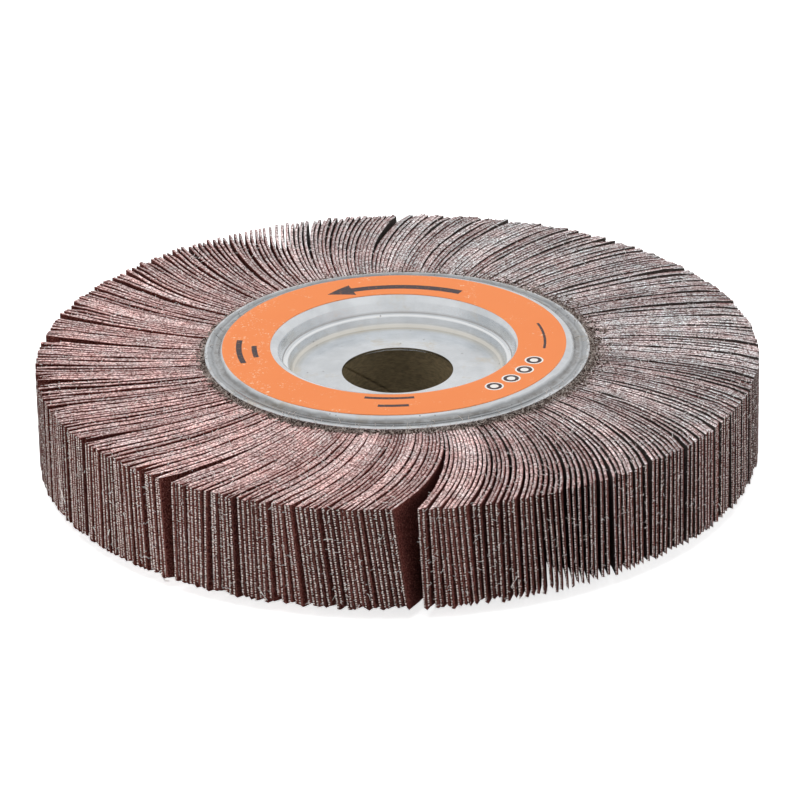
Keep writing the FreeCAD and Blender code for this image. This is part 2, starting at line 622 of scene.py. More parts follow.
@dataclass(frozen=True)
class CutCloth(Finish):
    """The cut edge of a flap: pale thread ends beside a darker line of grain, dusty by the hub,
    with painted side light.

    Attributes:
        pale: The colour of the palest specks.
        middle: The colour between the specks.
        dark: The colour of the darkest specks.
        grain_share: The share of the thickness that the grain takes.
        grain: The grain's colour.
        painted_left_light: The tint of painted light on the wheel's left, redder and a little
            lighter.
        painted_right_light: The tint of painted light on its right and at its rear, bluer.
        sides: Between which places the painted side light goes from the left's tint to the right's.
        rosy: The tint of the warmer patches.
        greyish: The tint of the others.
        speck: The size of the specks.
        ragged: The size of the bends in the line between grain and cloth.
        patch: The size of the patches.
        cloud: The size of the slow clouds.
        dust_start: The radius where the dust is thickest.
        dust_end: The radius where it ends.
        dust_more: How much further out it reaches on the right.
        dust_side: Between which places along X it comes to reach further.
        dust_lump: The size of the dust's lobes.
        dust_lobe: How far the lobes reach out and in.
        dust: The dust's colour.
        dirt: The colour between its specks.
        depth: The depth of the cut's relief.
    """

    name: str = "cut_edge"
    pale: Colour = (0.97, 0.92, 0.90)
    middle: Colour = (0.54, 0.44, 0.42)
    dark: Colour = (0.09, 0.055, 0.05)
    grain_share: float = 0.28
    grain: Colour = (0.22, 0.085, 0.075)
    # tints of painted side light
    painted_left_light: Colour = (1.12, 0.93, 0.92)
    painted_right_light: Colour = (0.94, 1.01, 1.04)
    sides: tuple[float, float] = (-60 * MM, 70 * MM)
    rosy: Colour = (1.06, 0.96, 0.95)
    greyish: Colour = (0.96, 1.02, 1.03)
    speck: float = 0.50 * MM
    ragged: float = 1.1 * MM
    patch: float = 6 * MM
    cloud: float = 9 * MM
    dust_start: float = 42.8 * MM
    dust_end: float = 45.3 * MM
    dust_more: float = 1.7 * MM
    dust_side: tuple[float, float] = (-10 * MM, 40 * MM)
    dust_lump: float = 1.3 * MM
    dust_lobe: float = 2.5 * MM
    dust: Colour = (0.30, 0.235, 0.20)
    dirt: Colour = (0.06, 0.04, 0.032)
    depth: float = 0.25 * MM

    def paint(self, graph: NodeGraph) -> None:
        """Specks lie on both layers, redder on the left as painted side light, and dust hides them
        near the hub.
        """
        place = graph.place(Pattern.OBJECT)
        share = graph.parts(graph.place(Pattern.CLOTH))[1]
        fine = graph.noise(place, self.speck, 2.0, 0.75)
        colour = graph.ramp(fine, [
            (0.40, self.dark),
            (0.46, self.middle),
            (0.53, self.middle),
            (0.60, self.pale),
        ])
        wander = graph.fade(graph.noise(place, self.ragged), 0.3, 0.7, -0.12, 0.12)
        edge = graph.math("ADD", share, wander)
        tone = graph.attribute(TONE)
        grainy = graph.math(
            "MULTIPLY",
            graph.fade(edge, self.grain_share + 0.08, self.grain_share - 0.08, 0.0, 0.95),
            graph.fade(tone, 0.2, 0.8, 1.0, 0.45),
        )
        colour = graph.blend(grainy, colour, self.grain)
        # painted side light: redder and lighter on the wheel's left, bluer on its right and at its
        # rear
        across, depth, _ = graph.parts(place)
        side = graph.math("ADD", across, graph.math("MULTIPLY", depth, 0.6))
        side = graph.fade(side, *self.sides)
        colour = graph.blend(1.0, colour, graph.blend(side, self.painted_left_light, self.painted_right_light), "MULTIPLY")
        tint = graph.fade(graph.noise(place, self.patch, 3.0), 0.35, 0.65)
        tint = graph.blend(tint, self.rosy, self.greyish)
        colour = graph.blend(1.0, colour, tint, "MULTIPLY")
        slow = graph.fade(graph.noise(place, self.cloud, 3.0), 0.3, 0.7, 0.86, 1.14)
        tone = graph.fade(tone, 0.0, 1.0, 0.70, 1.24)
        colour = graph.blend(1.0, colour, graph.math("MULTIPLY", slow, tone), "MULTIPLY")
        lumps = graph.math(
            "MULTIPLY", graph.noise(place, self.dust_lump, 3.0, 0.7), 2 * self.dust_lobe
        )
        reach = graph.math("SUBTRACT", graph.radius(place), lumps)
        wide = graph.fade(across, *self.dust_side, 0.0, self.dust_more)
        reach = graph.math("SUBTRACT", reach, wide)
        start, end = self.dust_start - self.dust_lobe, self.dust_end - self.dust_lobe
        dusty = graph.fade(reach, start, end, 0.9, 0.0)
        dust = graph.blend(graph.fade(fine, 0.42, 0.60), self.dirt, self.dust)
        graph.shade(
            Base_Color=graph.blend(dusty, colour, dust),
            Roughness=0.9,
            Specular_IOR_Level=0.1,
        )
        graph.relief(fine, self.depth)


@dataclass(frozen=True)
class TipCloth(Finish):
    """The outer end of a flap: dark, dusty grain beside a row of pale thread ends.

    Attributes:
        ground: The colour of the dusty grain.
        dark: The colour between its grains.
        pale: The colour of the thread ends.
        thread: How far apart the thread ends lie up the flap, in millimetres.
        cloth_share: The share of the thickness past which they lie.
        speck: The size of the specks.
        stray: Over what distance the thread ends stray.
        depth: The depth of the relief.
    """

    name: str = "flap_tip"
    ground: Colour = (0.175, 0.062, 0.052)
    dark: Colour = (0.045, 0.016, 0.013)
    pale: Colour = (1.0, 0.91, 0.86)
    thread: float = 0.56
    cloth_share: float = 0.60
    speck: float = 0.36 * MM
    stray: float = 1.3 * MM
    depth: float = 0.2 * MM

    def paint(self, graph: NodeGraph) -> None:
        """The thread ends repeat up the flap, and fine noise shifts them and drops some."""
        place = graph.place(Pattern.OBJECT)
        share, height, _ = graph.parts(graph.place(Pattern.CLOTH))
        fine = graph.noise(place, self.speck, 2.0, 0.7)
        slow = graph.noise(place, self.stray, 2.0)
        turn = graph.math("MULTIPLY", height, 2 * math.pi / self.thread)
        turn = graph.math("ADD", turn, graph.math("MULTIPLY", slow, 14.0))
        ends = graph.math("ADD", graph.math("MULTIPLY", graph.math("SINE", turn), 0.26), fine)
        ends = graph.math("ADD", ends, graph.math("MULTIPLY", slow, 0.35))
        pale = graph.fade(ends, 0.66, 0.74)
        edge = graph.math("ADD", share, graph.fade(fine, 0.3, 0.7, -0.15, 0.15))
        pale = graph.math(
            "MULTIPLY", pale, graph.fade(edge, self.cloth_share - 0.08, self.cloth_share + 0.08)
        )
        colour = graph.blend(graph.fade(fine, 0.36, 0.60), self.dark, self.ground)
        tone = graph.fade(graph.attribute(TONE), 0.0, 1.0, 0.7, 1.3)
        colour = graph.blend(1.0, colour, tone, "MULTIPLY")
        graph.shade(
            Base_Color=graph.blend(pale, colour, self.pale),
            Roughness=0.9,
            Specular_IOR_Level=0.1,
        )
        graph.relief(fine, self.depth)


@dataclass(frozen=True)
class Thread(Finish):
    """A loose cotton thread.

    Attributes:
        colour: The thread's colour.
        dusty: Its colour where dust lies on it.
        patch: The size of the dusty places.
    """

    name: str = "loose_thread"
    colour: Colour = (0.98, 0.95, 0.92)
    dusty: Colour = (0.60, 0.53, 0.50)
    patch: float = 1 * MM

    def paint(self, graph: NodeGraph) -> None:
        """Dust greys the thread in places."""
        dust = graph.fade(graph.noise(graph.place(Pattern.OBJECT), self.patch), 0.3, 0.55)
        graph.shade(
            Base_Color=graph.blend(dust, self.dusty, self.colour),
            Roughness=0.9,
            Specular_IOR_Level=0.1,
        )


@dataclass
class Quads:
    """A mesh in the making, of faces with four corners.

    Attributes:
        points: The corner points, one row each.
        corners: The numbers of each face's corner points, seen anticlockwise from outside.
        finish: The number of each face's finish.
        cloth: Each corner's place on the cloth, in millimetres, where there is cloth.
        tone: A number from 0 to 1 for each face.
    """

    points: Array
    corners: Array
    finish: Array | None = None
    cloth: Array | None = None
    tone: Array | None = None

    def joined(self, other: "Quads") -> "Quads":
        """Put another mesh's faces after this one's."""
        mine = self.finish if self.finish is not None else np.zeros(len(self.corners), int)
        theirs = other.finish if other.finish is not None else np.zeros(len(other.corners), int)
        return Quads(
            np.concatenate([self.points, other.points]),
            np.concatenate([self.corners, other.corners + len(self.points)]),
            np.concatenate([mine, theirs]),
        )

    def turned_over(self) -> "Quads":
        """Mirror the mesh in the wheel's mid-plane, with its faces still outwards."""
        return Quads(self.points * (1.0, 1.0, -1.0), self.corners[:, ::-1], self.finish)

    def piece(self, name: str, finishes: list[Finish], slot: Slot, crease: float = 35.0,
              weld: bool = False) -> bpy.types.Object:
        """Make the object, which rides on the wheel's one body.

        Args:
            name: The piece's name.
            finishes: What the faces' finish numbers stand for.
            slot: Not used.
            crease: The angle in degrees past which an edge stays sharp.
            weld: True to merge the points that meet at a pole.

        Returns:
            The new object.
        """
        mesh = bpy.data.meshes.new(name)
        mesh.vertices.add(len(self.points))
        mesh.vertices.foreach_set("co", self.points.astype(np.float32).ravel())
        mesh.loops.add(self.corners.size)
        mesh.loops.foreach_set("vertex_index", self.corners.astype(np.int32).ravel())
        mesh.polygons.add(len(self.corners))
        starts = np.arange(0, self.corners.size, 4, dtype=np.int32)
        mesh.polygons.foreach_set("loop_start", starts)
        if self.finish is not None:
            mesh.polygons.foreach_set("material_index", self.finish.astype(np.int32))
        if self.cloth is not None:
            layer = mesh.uv_layers.new(name=CLOTH_MAP)
            layer.data.foreach_set("uv", self.cloth.astype(np.float32).ravel())
        if self.tone is not None:
            layer = mesh.attributes.new(TONE, "FLOAT", "FACE")
            layer.data.foreach_set("value", self.tone.astype(np.float32))
        mesh.polygons.foreach_set("use_smooth", np.ones(len(self.corners), bool))
        mesh.update(calc_edges=True)
        if weld:
            solid = bmesh.new()
            solid.from_mesh(mesh)
            bmesh.ops.remove_doubles(solid, verts=solid.verts, dist=1e-7)
            solid.to_mesh(mesh)
            solid.free()
        mesh.set_sharp_from_angle(angle=math.radians(crease))
        for finish in finishes:
            mesh.materials.append(finish.material())
        made = bpy.data.objects.new(name, mesh)
        bpy.context.scene.collection.objects.link(made)
        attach(made, "root")
        LOG.info("%s: %d faces", name, len(mesh.polygons))
        return made


def grid_corners(rows: int, columns: int, wrap_rows: bool, wrap_columns: bool) -> Array:
    """Number the faces of a grid of points, row after row.

    Args:
        rows: How many rows of points there are.
        columns: How many points a row has.
        wrap_rows: True if the last row joins the first.
        wrap_columns: True if each row's last point joins its first.

    Returns:
        The four point numbers of each face.
    """
    row, column = np.meshgrid(
        np.arange(rows - (not wrap_rows)), np.arange(columns - (not wrap_columns)), indexing="ij"
    )
    next_row = (row + 1) % rows
    next_column = (column + 1) % columns
    return np.stack([
        row * columns + column,
        next_row * columns + column,
        next_row * columns + next_column,
        row * columns + next_column,
    ], axis=-1).reshape(-1, 4)


def revolved(outline: Array, steps: int) -> Quads:
    """Carry a closed outline once round the axis.

    Point (i, j) lies at radius j and height j of the outline, at i steps of the full turn. The
    outline runs anticlockwise with the radius to the right, so the faces point outwards.

    Args:
        outline: Rows of (radius, height).
        steps: How many steps make the turn.

    Returns:
        The closed ring.
    """
    turn = np.linspace(0.0, 2 * np.pi, steps, endpoint=False)[:, None]
    radius, height = outline[:, 0], outline[:, 1]
    points = np.stack([
        np.cos(turn) * radius,
        np.sin(turn) * radius,
        np.broadcast_to(height, (steps, len(outline))),
    ], axis=-1)
    return Quads(points.reshape(-1, 3), grid_corners(steps, len(outline), True, True))


def arc_bar(outline: Array, start: float, end: float, steps: int) -> Quads:
    """Carry a closed outline round a part of the circle, and close both ends.

    Args:
        outline: Four rows of (radius, height), anticlockwise with the radius to the right.
        start: The first angle in degrees.
        end: The last angle in degrees.
        steps: How many steps lie between them.

    Returns:
        The closed bar.
    """
    turn = np.radians(np.linspace(start, end, steps + 1))[:, None]
    points = np.stack([
        np.cos(turn) * outline[:, 0],
        np.sin(turn) * outline[:, 0],
        np.broadcast_to(outline[:, 1], (steps + 1, len(outline))),
    ], axis=-1).reshape(-1, 3)
    ends = np.array([[0, 1, 2, 3], [3, 2, 1, 0]]) + np.array([[0], [steps * 4]])
    sides = grid_corners(steps + 1, 4, False, True)
    return Quads(points, np.concatenate([sides, ends]))


def rounded(corners: Array, steps: int) -> Array:
    """Round the corners of a closed outline with tangent arcs.

    At each corner the heading turns by some angle. The arc starts short of the corner by its
    radius times the tangent of half that angle, and each of its points lies one radius from the
    centre, square to the heading there.

    Args:
        corners: Rows of (x, y, radius of the bend).
        steps: How many points each arc has.

    Returns:
        Rows of (x, y).
    """
    place, bend = corners[:, :2], corners[:, 2:3]
    ahead = np.roll(place, -1, axis=0) - place
    after = np.arctan2(ahead[:, 1], ahead[:, 0])[:, None]
    before = np.roll(after, 1, axis=0)
    turn = (after - before + np.pi) % (2 * np.pi) - np.pi
    short = bend * np.tan(np.abs(turn) / 2)
    start = place - short * np.concatenate([np.cos(before), np.sin(before)], axis=1)
    heading = before + turn * np.linspace(0.0, 1.0, steps)
    lean = np.sign(turn) * bend
    x = start[:, :1] + lean * (np.sin(heading) - np.sin(before))
    y = start[:, 1:] - lean * (np.cos(heading) - np.cos(before))
    return np.stack([x, y], axis=-1).reshape(-1, 2)


def sheet_back(face: Array, thickness: float) -> Array:
    """Give the other side of a bent sheet, to the left of its face line.

    Each corner moves along the sum of its two left normals, by as much as keeps the thickness,
    and its bend gets smaller where the line turns left and larger where it turns right.

    Args:
        face: Rows of (x, y, radius of the bend) along the open face line.
        thickness: The sheet's thickness.

    Returns:
        Rows of the same kind for the back line, in the same order, with no bend under LEAST_BEND.
    """
    step = np.diff(face[:, :2], axis=0)
    step /= np.linalg.norm(step, axis=1, keepdims=True)
    before = np.concatenate([step[:1], step])
    after = np.concatenate([step, step[-1:]])
    left = np.stack([-(before + after)[:, 1], (before + after)[:, 0]], axis=1)
    reach = thickness / (1 + (before * after).sum(axis=1))
    way = np.sign(before[:, 0] * after[:, 1] - before[:, 1] * after[:, 0])
    bend = np.where(way == 0, face[:, 2], face[:, 2] - way * thickness).clip(LEAST_BEND)
    return np.column_stack([face[:, :2] + left * reach[:, None], bend])


def ring_noise(rng: np.random.Generator, count: int, width: float) -> Array:
    """Make random numbers that change slowly round the wheel.

    White noise is smoothed with a bell curve by way of its waves, so that the end meets the
    start, and is scaled to a spread of one.

    Args:
        rng: The source of the random numbers.
        count: How many there are round the wheel.
        width: The bell curve's half width, in places.

    Returns:
        The numbers, in order.
    """
    waves = np.fft.rfft(rng.normal(size=count))
    times = np.arange(len(waves))
    waves *= np.exp(-2 * (np.pi * times * width / count) ** 2)
    waves[0] = 0.0
    smooth = np.fft.irfft(waves, count)
    return smooth / smooth.std()


def signed_gap(angle: Array, other: float) -> Array:
    """Give the way round from one angle to another in degrees, from -180 to 180."""
    return (angle - other + 180.0) % 360.0 - 180.0


def node_radii(*names: str) -> tuple[float, float]:
    """Measure the least and the greatest distance of some nodes' points from the axis."""
    reach = []
    for name in names:
        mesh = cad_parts[name].data
        points = np.empty(len(mesh.vertices) * 3)
        mesh.vertices.foreach_get("co", points)
        reach.append(np.hypot(points[0::3], points[1::3]))
    every = np.concatenate(reach)
    return float(every.min()), float(every.max())


@dataclass
class Flange:
    """A pressed flange: lip, valley, shoulder, land, stepped dish, floor and bore.

    Attributes:
        side: The side of the wheel that it covers.
        sheet: The sheet's thickness.
        rim_height: The height of the outer edge.
        lip: Radius, height and bend of the lip.
        valley: Radius, height and bend of the valley inside it.
        shoulder_foot: Radius, height and bend at the foot of the land's shoulder.
        shoulder_radius: Where the shoulder meets the land.
        dish_radius: Where the land turns down into the dish.
        land_bends: The bends at these two.
        wall_foot: Radius, height and bend at the foot of the dish's wall, where the ledge starts.
        ledge_radius: Where the ledge ends.
        ledge_bend: The bend there.
        floor_radius: Where the dish's floor starts.
        floor_height: The floor's height.
        floor_bend: The bend at its edge.
        edge_bend: The rounding of the sheet's cut edges.
        corner_points: How many points each bend has.
        steps: How many steps make the turn.
    """

    side: Side
    sheet: float = 0.8 * MM
    rim_height: float = 13.3 * MM
    lip: tuple[float, float, float] = (43.1 * MM, 13.43 * MM, 0.9 * MM)
    valley: tuple[float, float, float] = (42.1 * MM, 13.24 * MM, 0.6 * MM)
    shoulder_foot: tuple[float, float, float] = (40.85 * MM, 13.24 * MM, 0.35 * MM)
    shoulder_radius: float = 39.9 * MM
    dish_radius: float = 27.0 * MM
    land_bends: tuple[float, float] = (1.6 * MM, 1.8 * MM)
    wall_foot: tuple[float, float, float] = (26.2 * MM, 10.6 * MM, 0.3 * MM)
    ledge_radius: float = 24.9 * MM
    ledge_bend: float = 0.6 * MM
    floor_radius: float = 24.4 * MM
    floor_height: float = 7.8 * MM
    floor_bend: float = 1.0 * MM
    edge_bend: float = 0.14 * MM
    corner_points: int = 7
    steps: int = 288

    def __post_init__(self) -> None:
        """Take the bore, the rim and the land from the node, and work out the outline."""
        bore, rim = node_radii(self.node)
        land = abs(max(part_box(self.node), key=lambda corner: abs(corner.z)).z)
        face = np.array([
            (rim, self.rim_height, self.edge_bend),
            self.lip,
            self.valley,
            self.shoulder_foot,
            (self.shoulder_radius, land, self.land_bends[0]),
            (self.dish_radius, land, self.land_bends[1]),
            self.wall_foot,
            (self.ledge_radius, self.wall_foot[1], self.ledge_bend),
            (self.floor_radius, self.floor_height, self.floor_bend),
            (bore, self.floor_height, self.edge_bend),
        ])
        back = sheet_back(face, self.sheet)[::-1]
        self.outline = rounded(np.concatenate([face, back]), self.corner_points)
        self.face = self.outline[:len(face) * self.corner_points]

    @property
    def node(self) -> str:
        """The node that this flange stands for."""
        return f"{self.side.name.lower()}_flange"

    def height(self, radius: Array) -> Array:
        """Give the height of the land and its shoulders at each radius, outside the wall."""
        upper = self.face[self.face[:, 0] > self.wall_foot[0] + self.edge_bend][::-1]
        return np.interp(radius, upper[:, 0], upper[:, 1])

    def build(self) -> None:
        """Revolve the outline, and turn it over for the rear flange."""
        ring = revolved(self.outline, self.steps)
        if self.side is Side.REAR:
            ring = ring.turned_over()
        made = ring.piece(f"{self.node}_plate", [ZincPlate()], Slot.STEEL, crease=50.0)
        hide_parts(self.node)


@dataclass
class Label:
    """The label ring, stuck a little off centre on the front land, and its plain marks.

    Attributes:
        flange: The flange that it lies on.
        aside: How far its centre lies from the axis, along X and Y.
        inner: The paper's inner radius.
        outer: Its outer radius.
        rows: How many points lie between the two, so that the paper follows the land.
        relief: How far the print stands over the paper.
        bars: Radius, first and last angle in degrees, and width of each printed bar.
        arrow_radius: The radius of the middle of the arrow.
        arrow_width: The width of its shaft.
        arrow_angles: Where the shaft starts and ends, in degrees.
        head_width: The width of the arrow's head at its foot.
        head_tip: Half of its width at its point.
        head_angle: How far the head goes round, in degrees.
        dot_radius: How far from the label's centre the ringed dots lie.
        dot_angles: Where they lie, in degrees.
        dot_rings: The radii of a dot, of its dark ring and of the pale ring outside that.
        steps: How many steps make the turn.
    """

    flange: Flange
    aside: tuple[float, float] = (-0.65 * MM, 0.0)
    inner: float = 28.25 * MM
    outer: float = 39.25 * MM
    rows: int = 14
    relief: float = 0.012 * MM
    bars: tuple[tuple[float, float, float, float], ...] = (
        (35.4 * MM, 174.5, 195.5, 1.3 * MM),
        (31.9 * MM, 180.0, 191.5, 1.2 * MM),
        (34.4 * MM, -8.0, 16.0, 0.6 * MM),
        (30.4 * MM, 257.0, 278.0, 1.1 * MM),
        (34.4 * MM, 263.5, 275.0, 1.2 * MM),
    )
    arrow_radius: float = 32.4 * MM
    arrow_width: float = 2.2 * MM
    arrow_angles: tuple[float, float] = (61.0, 107.0)
    head_width: float = 6.0 * MM
    head_tip: float = 0.04 * MM
    head_angle: float = 11.0
    dot_radius: float = 33.5 * MM
    dot_angles: tuple[float, ...] = (311.5, 321.1, 330.7, 340.3)
    dot_rings: tuple[float, float, float] = (0.95 * MM, 1.75 * MM, 2.15 * MM)
    steps: int = 256

    def __post_init__(self) -> None:
        """Take the paper's heights from its node."""
        low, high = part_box("front_label")
        self.low = low.z
        self.top = high.z - self.relief

    def paper(self) -> Quads:
        """Lay the paper on the flange, whose height at each point it follows."""
        along = np.linspace(self.inner, self.outer, self.rows)
        radius = np.concatenate([along, along[::-1]])
        lift = np.repeat([0.0, self.top - self.low], self.rows)
        ring = revolved(np.column_stack([radius, lift]), self.steps)
        ring.points[:, :2] += self.aside
        ring.points[:, 2] += self.flange.height(np.hypot(ring.points[:, 0], ring.points[:, 1]))
        return ring

    def plate(self, inner: float, outer: float, top: float) -> Array:
        """Give the outline of a thin print between two radii, sunk a little in the paper."""
        low = self.top - self.relief
        return np.array([(inner, low), (outer, low), (outer, top), (inner, top)])

    def bar(self, radius: float, start: float, end: float, width: float) -> Quads:
        """Print one bar along a part of a circle."""
        outline = self.plate(radius - width / 2, radius + width / 2, self.top + self.relief / 2)
        return arc_bar(outline, start, end, max(4, int(abs(end - start))))

    def arrow_head(self) -> Quads:
        """Print the arrow's head: a bar whose width falls from its foot to its point."""
        steps = 8
        foot = self.arrow_angles[1]
        turn = np.radians(np.linspace(foot, foot + self.head_angle, steps + 1))[:, None]
        half = np.linspace(self.head_width / 2, self.head_tip, steps + 1)[:, None]
        radius = self.arrow_radius + half * np.array([-1.0, 1.0, 1.0, -1.0])
        outline = self.plate(0.0, 1.0, self.top + self.relief / 2)
        height = np.broadcast_to(outline[:, 1], radius.shape)
        points = np.stack([np.cos(turn) * radius, np.sin(turn) * radius, height], axis=-1)
        ends = np.array([[0, 1, 2, 3], [3, 2, 1, 0]]) + np.array([[0], [steps * 4]])
        corners = np.concatenate([grid_corners(steps + 1, 4, False, True), ends])
        return Quads(points.reshape(-1, 3), corners)

    def ring_mark(self, angle: float, inner: float, outer: float) -> Quads:
        """Print a small ring about a point of the dots' circle."""
        ring = revolved(self.plate(inner, outer, self.top + self.relief), 40)
        place = math.radians(angle)
        ring.points += self.dot_radius * np.array([math.cos(place), math.sin(place), 0.0])
        return ring

    def joined(self, parts: list[Quads]) -> Quads:
        """Put several prints into one mesh, off centre like the paper."""
        whole = parts[0]
        for part in parts[1:]:
            whole = whole.joined(part)
        whole.points[:, :2] += self.aside
        return whole

    def build(self) -> None:
        """Make the paper ring and its print."""
        made = self.paper().piece("label_paper", [LabelPaper()], Slot.LABEL)
        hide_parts("front_label")
        marks = [self.bar(*bar) for bar in self.bars]
        marks.append(self.bar(self.arrow_radius, *self.arrow_angles, self.arrow_width))
        marks.append(self.arrow_head())
        small, middle, large = self.dot_rings
        marks += [self.ring_mark(angle, small, middle) for angle in self.dot_angles]
        self.joined(marks).piece("label_print", [Ink()], Slot.LABEL)
        rings = [self.ring_mark(angle, middle, large) for angle in self.dot_angles]
        rings += [self.ring_mark(angle, 0.0, small) for angle in self.dot_angles]
        white = Ink("white_ink", (0.86, 0.84, 0.80), (0.9, 0.5, 0.3))
        self.joined(rings).piece("label_rings", [white], Slot.LABEL, weld=True)


@dataclass
class SpacerTube:
    """A tube wound from fibre strip, with its slanting seam open on the inside.

    Attributes:
        seam_start: Where the seam's height is given, in degrees.
        seam_height: Its height there.
        seam_rise: How much it rises with each degree.
        seam_width: The half width of the groove.
        seam_depth: The depth of the groove.
        steps: How many steps make the turn.
        rows: How many points lie up the inner wall.
    """

    seam_start: float = 159.4
    seam_height: float = 7.0 * MM
    seam_rise: float = 0.172 * MM
    seam_width: float = 0.22 * MM
    seam_depth: float = 0.45 * MM
    steps: int = 240
    rows: int = 90

    def build(self) -> None:
        """Work out the wall on a grid of angle and way round its section.

        The inner radius grows by the seam's depth times a bell curve of the height above the
        seam, which rises evenly with the angle.
        """
        low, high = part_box("spacer_tube")
        inner, outer = node_radii("spacer_tube")
        inside = np.linspace(high.z, low.z, self.rows)
        radius = np.concatenate([np.full(self.rows, inner), [outer, outer]])
        height = np.concatenate([inside, [low.z, high.z]])
        angle = np.linspace(0.0, 360.0, self.steps, endpoint=False)[:, None]
        seam = self.seam_height + self.seam_rise * signed_gap(angle, self.seam_start)
        groove = self.seam_depth * np.exp(-((height - seam) / self.seam_width) ** 2)
        groove[:, self.rows:] = 0.0
        reach = radius + groove
        turn = np.radians(angle)
        points = np.stack([
            np.cos(turn) * reach,
            np.sin(turn) * reach,
            np.broadcast_to(height, reach.shape),
        ], axis=-1)
        corners = grid_corners(self.steps, len(height), True, True)
        made = Quads(points.reshape(-1, 3), corners).piece(
            "spacer_tube_wound", [FibreBoard()], Slot.TUBE
        )
        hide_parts("spacer_tube")


@dataclass(frozen=True)
class Cleft:
    """A place where the flaps part.

    Attributes:
        angle: Where it is at the roots, in degrees.
        over: How far it opens at the tips' upper ends, in degrees.
        under: How far it opens at their lower ends.
        reach: Over how many degrees the flaps beside it lean away.
    """

    angle: float
    over: float
    under: float
    reach: float = 7.0


@dataclass
class FlapPack:
    """The flaps, as arrays over flap, height and station along the flap.

    Attributes:
        bunches: How many bunches there are.
        flaps_each: How many flaps stand in a bunch.
        stations: How many points lie along a flap.
        thickness: The cloth's thickness with its grain, where it is calm and there is room.
        swell: By which share a flap takes more room than that, where it stands loosely.
        filling: The most of the space between two flaps that one of them takes, where calm.
        filling_more: How much more of it one takes where it stands loosely.
        chamfer: How far a tip's lower corner is cut back, on the grain's side and on the cloth's.
        upper_chamfer: The share of that by which the upper corners are cut back.
        tip_margin: How far the tips stay inside their nodes' reach.
        shortness: How much shorter than that the flaps are, and how much that varies.
        sweep: The mean angle from root to tip round the axis, in degrees.
        waves: Waves round the wheel that the sweep follows: times, depth and peak in degrees.
        gather: The least and the greatest gathering of a bunch at its tips, in degrees.
        leans: How far the upper edges sweep more than the lower ones, where, over what reach.
        lean_spread: How much that varies in groups of flaps, and from flap to flap.
        calm: The places where the flaps stand most evenly, and over what reach.
        calmness: How evenly they stand there, from 0 to 1.
        tone_spread: How much the tone varies from flap to flap, and in groups of flaps.
        group: The least size of a group of tips, and the size that it stays under.
        group_gap: The least and the greatest extra weight of the space between two groups.
        group_waves: The number of waves round the wheel under which groups don't drift.
        bulge: How much the sideways bulge varies in groups of flaps, and from flap to flap.
        uneven: How much an edge's height varies from station to station, and from flap to flap.
        worn: How far the ends of the lower and upper edges are worn down.
        worn_power: How close to the ends that wear stays.
        clefts: The places where the flaps part.
        rng: The source of all random numbers.
    """

    bunches: int = 48
    flaps_each: int = 8
    stations: int = 10
    thickness: float = 0.57 * MM
    swell: float = 0.5
    filling: float = 0.66
    filling_more: float = 0.22
    chamfer: tuple[float, float] = (0.3 * MM, 0.8 * MM)
    upper_chamfer: float = 0.35
    tip_margin: float = 0.06 * MM
    shortness: tuple[float, float] = (0.02 * MM, 0.22 * MM)
    sweep: float = 7.8
    waves: tuple[tuple[int, float, float], ...] = ((1, 2.0, 330.0), (2, 2.2, 108.0))
    gather: tuple[float, float] = (0.0, 0.5)
    leans: tuple[tuple[float, float, float], ...] = ((1.8, 281.0, 24.0), (-0.9, 108.0, 26.0))
    lean_spread: tuple[float, float] = (0.22, 0.16)
    calm: tuple[tuple[float, float], ...] = ((306.0, 42.0), (120.0, 24.0))
    calmness: float = 0.85
    tone_spread: tuple[float, float] = (0.13, 0.15)
    group: tuple[int, int] = (2, 8)
    group_gap: tuple[float, float] = (0.1, 0.9)
    group_waves: int = 14
    bulge: tuple[float, float] = (0.22 * MM, 0.13 * MM)
    uneven: tuple[float, float] = (0.07 * MM, 0.11 * MM)
    worn: tuple[float, float] = (0.45 * MM, 0.25 * MM)
    worn_power: int = 24
    clefts: tuple[Cleft, ...] = (
        Cleft(283.0, 3.5, 1.8, 9.0),
        Cleft(240.0, 1.7, 1.0),
        Cleft(176.0, 1.7, 1.4),
        Cleft(97.0, 0.9, 0.8),
        Cleft(147.0, 0.6, 0.5, 4.0),
        Cleft(193.0, 0.8, 0.7, 4.0),
        Cleft(220.0, 0.5, 0.4, 4.0),
        Cleft(352.0, 0.5, 0.4, 4.0),
        Cleft(40.0, 0.4, 0.4, 4.0),
    )
    rng: np.random.Generator = field(default_factory=lambda: np.random.default_rng(SEED))

    def __post_init__(self) -> None:
        """Take the flaps' reach and width from their nodes, and draw the random numbers."""
        names = [self.node(number) for number in range(self.bunches)]
        root, tip = node_radii(*names)
        self.root = root
        sides = [abs(value) for corner in CAD_BOX for value in corner[:2]]
        self.tip = min(tip, *sides) - self.tip_margin
        self.half_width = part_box(names[0])[1].z
        self.count = self.bunches * self.flaps_each
        order = np.arange(self.count)
        place = (order + 0.5) / self.flaps_each
        self.bunch = place.astype(int)
        self.place = place - self.bunch - 0.5
        self.angle = 360.0 * order / self.count
        single, grouped = self.tone_spread
        tone = 0.5 + single * self.rng.normal(size=self.count)
        tone += grouped * ring_noise(self.rng, self.count, 1.5)
        self.tone = tone.clip(0.0, 1.0)
        self.loose = self.looseness()
        self.section = self.sections()

    @staticmethod
    def node(number: int) -> str:
        """Name a bunch's node."""
        return f"flap_bunch_{number + 1:02d}"

    def looseness(self) -> Array:
        """Say how loosely each flap stands: one, and less near the calm places."""
        loose = np.ones(self.count)
        for middle, reach in self.calm:
            loose -= self.calmness * np.exp(-((signed_gap(self.angle, middle) / reach) ** 2))
        return loose

